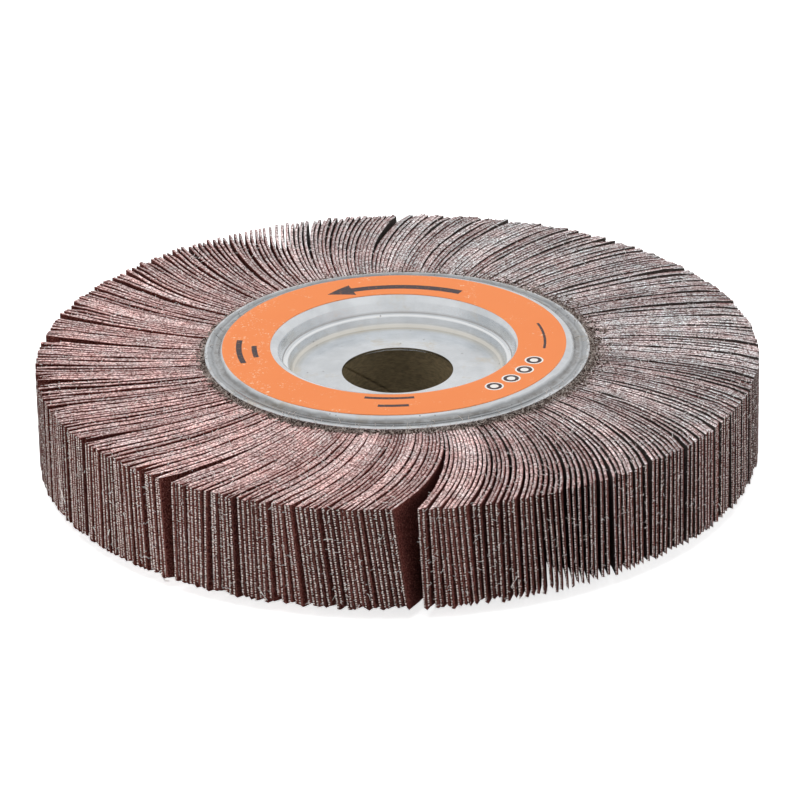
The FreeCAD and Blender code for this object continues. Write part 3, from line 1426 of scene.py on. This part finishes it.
    def grouping(self) -> Array:
        """Lean neighbouring tips together in uneven groups.

        Each space between two tips has a weight, small inside a group and large between groups.
        The running sum of the weights, less an even spacing and less its own slow drift, is how
        far round each tip is moved.

        Returns:
            The tips' moves in degrees.
        """
        weights = 1 + 0.14 * self.rng.uniform(-1.0, 1.0, self.count)
        ends = np.cumsum(self.rng.integers(*self.group, self.count))
        ends = ends[ends < self.count]
        weights[ends] += self.loose[ends] * self.rng.uniform(*self.group_gap, len(ends))
        run = np.cumsum(weights) * 360.0 / weights.sum() - self.angle
        run -= run.mean()
        waves = np.fft.rfft(run)
        waves[:self.group_waves] = 0.0
        return np.fft.irfft(waves, self.count)

    def sweeps(self) -> Array:
        """Work out each flap's sweep at its lower edge, its middle and its upper edge.

        Returns:
            Degrees, one row for each flap and one column for each height.
        """
        sweep = np.full(self.count, self.sweep)
        for times, depth, peak in self.waves:
            sweep += depth * np.cos(np.radians(times * (self.angle - peak)))
        gather = self.rng.uniform(*self.gather, self.bunches)[self.bunch]
        sweep += gather * self.place - self.grouping()
        height = np.array([0.0, 0.5, 1.0])
        spread = np.zeros((self.count, len(height)))
        for cleft in self.clefts:
            gap = signed_gap(self.angle, cleft.angle)[:, None]
            width = cleft.under + (cleft.over - cleft.under) * height
            spread -= np.copysign(width / 2 * np.exp(-np.abs(gap) / cleft.reach), gap)
        grouped, single = self.lean_spread
        lean = grouped * ring_noise(self.rng, self.count, 3.0)
        lean += single * self.rng.normal(size=self.count)
        for most, where, reach in self.leans:
            lean += most * np.exp(-((signed_gap(self.angle, where) / reach) ** 2))
        return sweep[:, None] + spread + lean[:, None] * (height - 0.5)

    def centre_lines(self) -> tuple[Array, Array, Array]:
        """Bend each flap along an arc that leaves the ring square and ends at its tip.

        The arc's chord turns by half of the arc's own turn, which gives the turn and the bend's
        radius from the place of the tip. A slow sideways bulge keeps the lines from being equal.

        Returns:
            Distance along the root's radius, distance aside and heading, by flap, height, station.
        """
        sweep = np.radians(self.sweeps())[:, :, None]
        least, spread = self.shortness
        short = least + spread * np.abs(self.rng.normal(size=self.count))
        reach = self.tip - short[:, None, None]
        along_tip = reach * np.cos(sweep) - self.root
        aside_tip = reach * np.sin(sweep)
        turn = 2 * np.arctan2(aside_tip, along_tip)
        bend = along_tip / np.sin(turn)
        share = np.linspace(0.0, 1.0, self.stations)
        heading = turn * share
        grouped, single = self.bulge
        bulge = grouped * ring_noise(self.rng, self.count, 2.2)
        bulge += single * self.rng.normal(size=self.count)
        bulge = bulge[:, None, None] * np.sin(np.pi * share) ** 2
        along = self.root + bend * np.sin(heading)
        aside = -bend * (1 - np.cos(heading)) + bulge
        return along, aside, heading

    def heights(self) -> Array:
        """Give the uneven heights of the two cut edges and of the middle line.

        The wear of an edge grows with a high power of the share of the way to the tip.

        Returns:
            Heights by flap, height and station.
        """
        local, whole = self.uneven
        uneven = local * self.rng.normal(size=(self.count, 2, self.stations))
        uneven += whole * self.rng.normal(size=(self.count, 2, 1))
        worn = np.array(self.worn)[:, None] * np.abs(self.rng.normal(size=(self.count, 2, 1)))
        uneven -= worn * np.linspace(0.0, 1.0, self.stations) ** self.worn_power
        low = -self.half_width - uneven[:, 0]
        high = self.half_width + uneven[:, 1]
        return np.stack([low, (low + high) / 2, high], axis=1)

    def sections(self) -> Array:
        """Set six points round each station: three heights on the grain side, then the back.

        The last station's points move along the flap until they are as far out as its middle,
        so that the tips lie on a cylinder, and their corners are cut back by random amounts.

        Returns:
            Points by flap, station and place round the section.
        """
        along, aside, heading = self.centre_lines()
        pitch = 2 * np.pi * np.hypot(along, aside) / self.count
        loose = self.loose[:, None, None]
        filling = self.filling + self.filling_more * loose
        half = np.minimum(self.thickness * (1 + self.swell * loose), filling * pitch) / 2
        height = self.heights()
        corners = height[:, ::2, -1].copy()
        turn = np.radians(self.angle)[:, None, None]
        sides = []
        both = zip((1, -1), self.chamfer, (slice(None), slice(None, None, -1)))
        for sign, chamfer, order in both:
            cut = chamfer * np.abs(self.rng.normal(size=(self.count, 2)))
            height[:, ::2, -1] = corners + cut * (1.0, -self.upper_chamfer)
            x = along + sign * half * np.sin(heading)
            y = aside + sign * half * np.cos(heading)
            distance = np.hypot(x, y)
            outward = (x * np.cos(heading) - y * np.sin(heading)) / distance
            move = (np.hypot(along, aside) - distance) / outward
            move[..., :-1] = 0.0
            x = x + move * np.cos(heading)
            y = y - move * np.sin(heading)
            points = np.stack([
                x * np.cos(turn) - y * np.sin(turn),
                x * np.sin(turn) + y * np.cos(turn),
                height,
            ], axis=-1)
            sides.append(points[:, order])
        return np.concatenate(sides, axis=1).transpose(0, 2, 1, 3)

    def bunch_mesh(self, number: int) -> Quads:
        """Join one bunch's flaps, with the finish and the cloth map of every face.

        Args:
            number: Which bunch.

        Returns:
            The bunch's mesh.
        """
        chosen = np.flatnonzero(self.bunch == number)
        points = self.section[chosen]
        flaps, stations, around, _ = points.shape
        sides = grid_corners(stations, around, False, True)[:, [0, 3, 2, 1]]
        cap = np.array([[0, 1, 4, 5], [1, 2, 3, 4]])
        corners = np.concatenate([sides, cap[:, ::-1], cap + (stations - 1) * around])
        across = [Cloth.GRAIN, Cloth.GRAIN, Cloth.CUT, Cloth.BACK, Cloth.BACK, Cloth.CUT]
        finish = np.concatenate([np.tile(across, stations - 1), [Cloth.TIP] * 4])
        step = np.linalg.norm(np.diff(points[:, :, 1], axis=1), axis=-1)
        length = np.concatenate([np.zeros((flaps, 1)), np.cumsum(step, axis=1)], axis=1)
        share = np.broadcast_to([0.0, 0.0, 0.0, 1.0, 1.0, 1.0], points.shape[:3])
        length = np.broadcast_to(length[:, :, None], points.shape[:3]) / MM
        height = points[..., 2] / MM
        maps = np.stack([
            np.stack([length, height], axis=-1),
            np.stack([length, share], axis=-1),
            np.stack([share, height], axis=-1),
        ], axis=1).reshape(flaps, 3, -1, 2)
        kind = np.array([0, 0, 1, 2])[finish]
        cloth = maps[:, kind[:, None], corners]
        shift = (np.arange(flaps) * stations * around)[:, None, None]
        return Quads(
            points.reshape(-1, 3),
            (corners + shift).reshape(-1, 4),
            np.tile(finish, flaps),
            cloth.reshape(-1, 2),
            np.repeat(self.tone[chosen], len(corners)),
        )

    def build(self) -> None:
        """Make one piece for each bunch."""
        finishes = [Grain(), ClothBack(), CutCloth(), TipCloth()]
        for number in range(self.bunches):
            name = f"cloth_flaps_{number + 1:02d}"
            made = self.bunch_mesh(number).piece(name, finishes, Slot.CLOTH)
            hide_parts(self.node(number))


def thin_tubes(paths: Array, radius: Array) -> Quads:
    """Carry a small square along each path, and close its ends.

    Args:
        paths: Points by path and station.
        radius: The square's half diagonal by path and station.

    Returns:
        All the tubes in one mesh.
    """
    count, stations, _ = paths.shape
    ahead = np.gradient(paths, axis=1)
    ahead /= np.linalg.norm(ahead, axis=-1, keepdims=True)
    aside = np.cross(ahead, np.array([0.31, 0.57, 0.76]))
    aside /= np.linalg.norm(aside, axis=-1, keepdims=True)
    over = np.cross(ahead, aside)
    reach = radius[..., None]
    points = np.stack([
        paths + aside * reach,
        paths + over * reach,
        paths - aside * reach,
        paths - over * reach,
    ], axis=2)
    sides = grid_corners(stations, 4, False, True)[:, [0, 3, 2, 1]]
    ends = np.array([[3, 2, 1, 0], [0, 1, 2, 3]]) + np.array([[0], [(stations - 1) * 4]])
    corners = np.concatenate([sides, ends])
    shift = (np.arange(count) * stations * 4)[:, None, None]
    return Quads(points.reshape(-1, 3), (corners + shift).reshape(-1, 4))


@dataclass
class LooseThreads:
    """Threads that have frayed out of the flaps' tips and cut edges.

    Attributes:
        pack: The flaps.
        hanging: How many threads hang from the tips.
        long: How many of those are long.
        fuzz: How many short fibres stand on the cut edges.
        frayed: How many short fibres stand on the tips.
        root_fibres: How many fibres curl over the flange's rim.
        root_ring: Between which radii they start.
        hanging_radius: Half the thickness of a hanging thread.
        long_radius: Half the thickness of a long one.
        fuzz_radius: Half the thickness of a fibre.
        hanging_length: The least and the greatest length of a hanging thread.
        long_length: Those of a long one.
        edge_length: Those of a fibre on the cut edges.
        tip_length: Those of a fibre on the tips.
        root_length: Those of a fibre at the rim.
        over: How far fibres may stand over the flaps' edges.
    """

    pack: FlapPack
    hanging: int = 170
    long: int = 34
    fuzz: int = 8200
    frayed: int = 7200
    root_fibres: int = 1500
    root_ring: tuple[float, float] = (43.6 * MM, 45.0 * MM)
    hanging_radius: float = 0.08 * MM
    long_radius: float = 0.13 * MM
    fuzz_radius: float = 0.065 * MM
    hanging_length: tuple[float, float] = (0.6 * MM, 2.2 * MM)
    long_length: tuple[float, float] = (3.5 * MM, 6.5 * MM)
    edge_length: tuple[float, float] = (0.25 * MM, 0.8 * MM)
    tip_length: tuple[float, float] = (0.25 * MM, 0.85 * MM)
    root_length: tuple[float, float] = (0.5 * MM, 1.7 * MM)
    over: float = 1.7 * MM

    def paths(self, start: Array, way: Array, length: Array, curl: float, stations: int) -> Array:
        """Run each thread from its start along its way, with a random curl that grows.

        Point t lies at start + length * (t * way + t squared * curl * a random direction), plus
        a quarter of the curl along another direction, as a wave.

        Args:
            start: Where each thread leaves its flap.
            way: The direction in which it leaves.
            length: Its length.
            curl: How strongly it curls.
            stations: How many points lie along it.

        Returns:
            Points by thread and station, kept within the part's own reach.
        """
        share = np.linspace(0.0, 1.0, stations)[None, :, None]
        drift = self.pack.rng.normal(size=start.shape)[:, None]
        wave = self.pack.rng.normal(size=start.shape)[:, None]
        run = share * way[:, None] + curl * share ** 2 * drift
        run = run + 0.25 * curl * np.sin(2 * np.pi * share) * wave
        paths = start[:, None] + length[:, None, None] * run
        flat = np.hypot(paths[..., 0], paths[..., 1])
        paths[..., :2] *= np.minimum(1.0, (self.pack.tip - self.long_radius) / flat)[..., None]
        limit = self.pack.half_width + self.over
        paths[..., 2] = paths[..., 2].clip(-limit, limit)
        return paths

    def tube(self, paths: Array, radius: Array | float) -> Quads:
        """Give each path a thin tube that narrows towards its end."""
        taper = np.linspace(1.0, 0.6, paths.shape[1])
        start = np.broadcast_to(radius, len(paths))[:, None]
        return thin_tubes(paths, start * taper)

    def hanging_threads(self) -> Quads:
        """Hang threads from points all over the tips."""
        rng = self.pack.rng
        section = self.pack.section
        picked = rng.integers(0, self.pack.count, self.hanging)
        height = rng.uniform(0.0, 1.0, self.hanging)[:, None]
        low, high = section[picked, -1, 0], section[picked, -1, 2]
        start = low + (high - low) * height
        out = start * (1.0, 1.0, 0.0)
        out /= np.linalg.norm(out, axis=1, keepdims=True)
        aside = np.cross(out, (0.0, 0.0, 1.0)) * rng.normal(size=(self.hanging, 1))
        way = 0.25 * out + 0.5 * aside + rng.uniform(-0.9, 0.4, (self.hanging, 1)) * (0, 0, 1.0)
        length = rng.uniform(*self.hanging_length, self.hanging)
        length[:self.long] = rng.uniform(*self.long_length, self.long)
        radius = np.full(self.hanging, self.hanging_radius)
        radius[:self.long] = self.long_radius
        return self.tube(self.paths(start, way, length, 0.35, 6), radius)

    def edge_fuzz(self) -> Quads:
        """Stand short fibres on the upper and lower cut edges.

        Places 2 and 3 round a flap's section are the two sides of its upper edge, and places 0
        and 5 those of its lower edge.
        """
        rng = self.pack.rng
        picked = rng.integers(0, self.pack.count, self.fuzz)
        station = rng.integers(1, self.pack.stations - 1, self.fuzz)
        place = rng.choice([2, 3, 2, 3, 0, 5], self.fuzz)
        along = rng.uniform(0.0, 1.0, (self.fuzz, 1))
        section = self.pack.section
        near, far = section[picked, station, place], section[picked, station + 1, place]
        start = near + (far - near) * along
        upward = np.where((place == 2) | (place == 3), 1.0, -1.0)[:, None]
        way = rng.normal(size=(self.fuzz, 3)) * (0.6, 0.6, 0.3) + upward * (0.0, 0.0, 0.3)
        length = rng.uniform(*self.edge_length, self.fuzz)
        return self.tube(self.paths(start, way, length, 0.3, 3), self.fuzz_radius)

    def tip_fuzz(self) -> Quads:
        """Stand short fibres along the tips, on the cloth's side of them."""
        rng = self.pack.rng
        picked = rng.integers(0, self.pack.count, self.frayed)
        section = self.pack.section
        low, high = section[picked, -1, 5], section[picked, -1, 3]
        start = low + (high - low) * rng.uniform(0.0, 1.0, (self.frayed, 1))
        grain = section[picked, -1, 1] - section[picked, -1, 4]
        start += grain * rng.uniform(0.0, 0.35, (self.frayed, 1))
        out = start * (1.0, 1.0, 0.0)
        out /= np.linalg.norm(out, axis=1, keepdims=True)
        way = 0.4 * out + rng.normal(size=(self.frayed, 3)) * (0.5, 0.5, 0.5)
        length = rng.uniform(*self.tip_length, self.frayed)
        return self.tube(self.paths(start, way, length, 0.3, 3), self.fuzz_radius)

    def rim_fibres(self) -> Quads:
        """Curl fibres out of the roots' upper edges, up and over the flange's rim."""
        rng = self.pack.rng
        count = self.root_fibres
        angle = rng.uniform(0.0, 2 * np.pi, count)
        out = np.stack([np.cos(angle), np.sin(angle), np.zeros(count)], axis=1)
        start = out * rng.uniform(*self.root_ring, (count, 1))
        start[:, 2] = self.pack.half_width + rng.uniform(-0.1, 0.5, count) * MM
        way = rng.normal(size=(count, 3)) * (0.55, 0.55, 0.2) + (0.0, 0.0, 0.45) - 0.35 * out
        length = rng.uniform(*self.root_length, count)
        return self.tube(self.paths(start, way, length, 0.4, 4), self.fuzz_radius)

    def build(self) -> None:
        """Make the four kinds of thread."""
        dusty = Thread("rim_fibre", (0.66, 0.59, 0.54), (0.13, 0.10, 0.085))
        self.rim_fibres().piece("rim_fibres", [dusty], Slot.CLOTH)
        self.hanging_threads().piece("hanging_threads", [Thread()], Slot.CLOTH)
        self.edge_fuzz().piece("edge_fuzz", [Thread()], Slot.CLOTH)
        self.tip_fuzz().piece("tip_fuzz", [Thread()], Slot.CLOTH)


@dataclass
class RootResin:
    """Resin and dust where the flaps leave the rim: an uneven bead with crumbs on it.

    The crumbs' reach round the wheel is the sum of three shares: an even one, one that is largest
    at an angle and across from it, and one that is largest at a single angle.

    Attributes:
        side: The side of the wheel that it is on.
        pack: The flaps.
        bead_radius: The radius of the middle of the bead.
        bead_half_width: Half of its width.
        bead_half_height: Half of its height.
        bead_sink: How far its middle lies under the flaps' edges.
        bead_noise: How much its size varies slowly, and from point to point.
        crumbs: How many crumbs there are.
        crumb_size: The least and the greatest side of one.
        inner: The radius from which they lie outwards.
        spread: Their mean distance from there.
        farthest: The greatest distance.
        level: Between which heights from the flaps' edges they lie.
        heap: How much higher they lie by the rim.
        heap_reach: Over what distance the heap falls.
        widest: The angles in degrees at which the second and the third share are largest.
        shares: The three shares.
        steps: How many steps make the turn.
        around: How many points the bead's section has.
    """

    side: Side
    pack: FlapPack
    bead_radius: float = 42.6 * MM
    bead_half_width: float = 1.1 * MM
    bead_half_height: float = 0.5 * MM
    bead_sink: float = 0.35 * MM
    bead_noise: tuple[float, float] = (0.16, 0.16)
    crumbs: int = 7600
    crumb_size: tuple[float, float] = (0.14 * MM, 0.55 * MM)
    inner: float = 43.7 * MM
    spread: float = 1.5 * MM
    farthest: float = 6 * MM
    level: tuple[float, float] = (-0.2 * MM, 0.1 * MM)
    heap: float = 1.0 * MM
    heap_reach: float = 0.6 * MM
    widest: tuple[float, float] = (20.0, 35.0)
    shares: tuple[float, float, float] = (0.22, 0.13, 0.65)
    steps: int = 540
    around: int = 14

    def bead(self) -> Quads:
        """Work out a flat ring whose section swells and shrinks round the wheel.

        The section is an ellipse. Its size at each angle and way round is one plus a slow and a
        quick random wave.
        """
        rng = self.pack.rng
        slow = self.bead_noise[0] * ring_noise(rng, self.steps, 4.0)[:, None]
        quick = self.bead_noise[1] * rng.normal(size=(self.steps, self.around))
        size = (1 + slow + quick).clip(0.6, 1.5)
        way = np.linspace(0.0, 2 * np.pi, self.around, endpoint=False)
        turn = np.linspace(0.0, 2 * np.pi, self.steps, endpoint=False)[:, None]
        radius = self.bead_radius + self.bead_half_width * np.cos(way) * size
        height = self.pack.half_width - self.bead_sink
        height = height + self.bead_half_height * np.sin(way) * size
        points = np.stack([np.cos(turn) * radius, np.sin(turn) * radius, height], axis=-1)
        return Quads(points.reshape(-1, 3), grid_corners(self.steps, self.around, True, True))

    def grains(self) -> Quads:
        """Scatter small uneven blocks, thick by the rim and thin further out.

        Each is a cube whose corners are moved at random by up to 0.22 of its side, turned by a
        random quaternion.
        """
        rng = self.pack.rng
        cube = np.array([
            (-1, -1, -1), (1, -1, -1), (1, 1, -1), (-1, 1, -1),
            (-1, -1, 1), (1, -1, 1), (1, 1, 1), (-1, 1, 1),
        ]) / 2.0
        faces = np.array([
            (0, 3, 2, 1), (4, 5, 6, 7), (0, 1, 5, 4), (1, 2, 6, 5), (2, 3, 7, 6), (3, 0, 4, 7),
        ])
        shape = cube + rng.uniform(-0.22, 0.22, (self.crumbs, 8, 3))
        shape *= rng.uniform(*self.crumb_size, (self.crumbs, 1, 3))
        w, x, y, z = rng.normal(size=(4, self.crumbs))
        length = np.sqrt(w * w + x * x + y * y + z * z)
        w, x, y, z = w / length, x / length, y / length, z / length
        turns = np.stack([
            1 - 2 * (y * y + z * z), 2 * (x * y - w * z), 2 * (x * z + w * y),
            2 * (x * y + w * z), 1 - 2 * (x * x + z * z), 2 * (y * z - w * x),
            2 * (x * z - w * y), 2 * (y * z + w * x), 1 - 2 * (x * x + y * y),
        ], axis=-1).reshape(-1, 3, 3)
        shape = np.einsum("nij,nkj->nki", turns, shape)
        angle = rng.uniform(0.0, 2 * np.pi, self.crumbs)
        both, one = (angle - math.radians(place) for place in self.widest)
        least, double, single = self.shares
        share = least + double * (0.5 + 0.5 * np.cos(2 * both)) + single * np.cos(one).clip(0.0)
        away = rng.exponential(self.spread, self.crumbs).clip(0.0, self.farthest) * share
        radius = self.inner + away
        heap = self.heap * share * np.exp(-away / self.heap_reach)
        height = self.pack.half_width + rng.uniform(*self.level, self.crumbs)
        height += heap * rng.uniform(0.0, 1.0, self.crumbs)
        centre = np.stack([np.cos(angle) * radius, np.sin(angle) * radius, height], axis=-1)
        points = (shape + centre[:, None]).reshape(-1, 3)
        shift = (np.arange(self.crumbs) * 8)[:, None, None]
        return Quads(points, (faces + shift).reshape(-1, 4))

    def build(self) -> None:
        """Make the bead and its crumbs as one piece."""
        whole = self.bead().joined(self.grains())
        if self.side is Side.REAR:
            whole = whole.turned_over()
        whole.piece(f"root_resin_{self.side.name.lower()}", [Resin()], Slot.RESIN)


@dataclass(frozen=True)
class Viewpoint:
    """The photograph's camera.

    It stands before the wheel, looks down on it, and is turned a little more about its own axes:
    first sideways, then up, then about the line of sight.

    Attributes:
        frame_pixels: The photograph's width.
        focal_pixels: The focal length in the same pixels.
        sensor: The width of Blender's sensor, in its millimetres.
        distance: How far it stands from the point that it first faces.
        elevation: How far it looks down, in radians.
        aside: How far it is then turned to the left, in radians.
        upward: How far it is then tilted up, in radians.
        roll: How far it is then turned about its line of sight, in radians.
        drop: How far that point lies under the wheel's middle.
    """

    frame_pixels: float = 800.0
    focal_pixels: float = 5016.6
    sensor: float = 36.0
    distance: float = 1.15468
    elevation: float = 0.437537
    aside: float = -0.00037
    upward: float = 0.009661
    roll: float = 0.021806
    drop: float = 12.1 * MM

    def build(self) -> None:
        """Make the camera and hand it to the scene."""
        back = Vector((0.0, -math.cos(self.elevation), math.sin(self.elevation)))
        ahead, right = -back, Vector((1.0, 0.0, 0.0))
        over = right.cross(ahead)
        turn = Matrix.Rotation(self.aside, 3, over)
        ahead, right = turn @ ahead, turn @ right
        turn = Matrix.Rotation(self.upward, 3, right)
        ahead, over = turn @ ahead, turn @ over
        turn = Matrix.Rotation(self.roll, 3, ahead)
        right, over = turn @ right, turn @ over
        pose = Matrix((right, over, -ahead)).transposed().to_4x4()
        pose.translation = back * self.distance - Vector((0.0, 0.0, self.drop))
        lens = bpy.data.cameras.new("photo_camera")
        lens.sensor_width = self.sensor
        lens.lens = self.focal_pixels / self.frame_pixels * self.sensor
        lens.clip_start = 0.05
        lens.clip_end = 50.0
        camera = bpy.data.objects.new("photo_camera", lens)
        camera.matrix_world = pose
        bpy.context.scene.collection.objects.link(camera)
        bpy.context.scene.camera = camera


@dataclass(frozen=True)
class SoftLamp:
    """A square soft lamp.

    Attributes:
        name: The lamp's name.
        place: Where it stands.
        width: The length of its sides.
        power: Its power in watts.
        tint: Its colour.
        mirrored: True if the metal shows it.
    """

    name: str
    place: tuple[float, float, float]
    width: float
    power: float
    tint: Colour = (1.0, 1.0, 1.0)
    mirrored: bool = True

    def build(self) -> None:
        """Make the lamp, facing the wheel."""
        light = bpy.data.lights.new(self.name, "AREA")
        light.size = self.width
        light.energy = self.power
        light.color = self.tint
        lamp = bpy.data.objects.new(self.name, light)
        place = Vector(self.place)
        lamp.matrix_world = (
            Matrix.Translation(place) @ (-place).to_track_quat("-Z", "Y").to_matrix().to_4x4()
        )
        lamp.visible_glossy = self.mirrored
        bpy.context.scene.collection.objects.link(lamp)


@dataclass(frozen=True)
class Studio:
    """A white floor and backdrop, and soft lamps.

    Attributes:
        floor_width: The length of the floor's sides.
        floor_glow: How strongly the floor glows for the camera alone.
        floor_colour: The floor's colour.
        ambient: How strongly the backdrop lights the wheel.
        lamps: The lamps.
    """

    floor_width: float = 6.0
    floor_glow: float = 0.76
    floor_colour: Colour = (0.82, 0.82, 0.82)
    ambient: float = 0.13
    lamps: tuple[SoftLamp, ...] = (
        SoftLamp("overhead_lamp", (-0.1, 0.1, 1.4), 1.3, 20.0, (0.985, 0.99, 1.0), mirrored=False),
        SoftLamp("left_lamp", (-1.35, -0.2, 0.22), 0.9, 10.5, (1.0, 0.99, 0.98), mirrored=False),
        SoftLamp("right_lamp", (1.35, -0.2, 0.22), 0.9, 9.5, (0.98, 0.99, 1.0), mirrored=False),
    )

    def floor(self) -> None:
        """Lay a floor that is white to the camera, and darker where the wheel shades it."""
        half = self.floor_width / 2
        corners = np.array([(-half, -half), (half, -half), (half, half), (-half, half)])
        points = np.column_stack([corners, np.full(4, CAD_BOX[0].z)])
        mesh = bpy.data.meshes.new("floor")
        mesh.from_pydata(points.tolist(), [], [(0, 1, 2, 3)])
        graph = NodeGraph("floor_white")
        graph.shade(Base_Color=self.floor_colour, Roughness=1.0)
        glow = graph.nodes.new("ShaderNodeEmission")
        seen = graph.nodes.new("ShaderNodeLightPath").outputs["Is Camera Ray"]
        graph.put(glow, "Strength", graph.math("MULTIPLY", seen, self.floor_glow))
        both = graph.nodes.new("ShaderNodeAddShader")
        graph.put(both, 0, graph.shader.outputs[0])
        graph.put(both, 1, glow.outputs[0])
        graph.put(graph.output, "Surface", both.outputs[0])
        mesh.materials.append(graph.material)
        floor = bpy.data.objects.new("floor", mesh)
        bpy.context.scene.collection.objects.link(floor)

    def world(self) -> None:
        """Light the room evenly, with a backdrop that the camera and the metal see as white."""
        world = bpy.data.worlds.new("studio")
        bpy.context.scene.world = world
        world.use_nodes = True
        nodes, links = world.node_tree.nodes, world.node_tree.links
        nodes.clear()
        rays = nodes.new("ShaderNodeLightPath").outputs
        backdrop = rays["Is Camera Ray"]
        for other in ("Is Glossy Ray", "Is Transmission Ray"):
            most = nodes.new("ShaderNodeMath")
            most.operation = "MAXIMUM"
            links.new(backdrop, most.inputs[0])
            links.new(rays[other], most.inputs[1])
            backdrop = most.outputs[0]
        strength = nodes.new("ShaderNodeMapRange")
        links.new(backdrop, strength.inputs["Value"])
        strength.inputs["To Min"].default_value = self.ambient
        light = nodes.new("ShaderNodeBackground")
        links.new(strength.outputs[0], light.inputs["Strength"])
        output = nodes.new("ShaderNodeOutputWorld")
        links.new(light.outputs[0], output.inputs["Surface"])

    def build(self) -> None:
        """Make the floor, the world and the lamps."""
        self.floor()
        self.world()
        for lamp in self.lamps:
            lamp.build()
        bpy.context.scene.view_settings.view_transform = "Standard"


def dress_resin_ring() -> None:
    """Give the hidden resin ring its finish."""
    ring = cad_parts["resin_ring"]
    ring.data.materials.clear()
    ring.data.materials.append(Resin().material())


def main() -> None:
    """Build the wheel's pieces in order, then the studio and the camera."""
    logging.basicConfig(level=logging.INFO, format="%(name)s: %(message)s")
    pack = FlapPack()
    flanges = {side: Flange(side) for side in Side}
    for side, flange in flanges.items():
        flange.build()
        RootResin(side, pack).build()
    Label(flanges[Side.FRONT]).build()
    SpacerTube().build()
    dress_resin_ring()
    pack.build()
    LooseThreads(pack).build()
    Studio().build()
    Viewpoint().build()


if __name__ == "__main__":
    main()
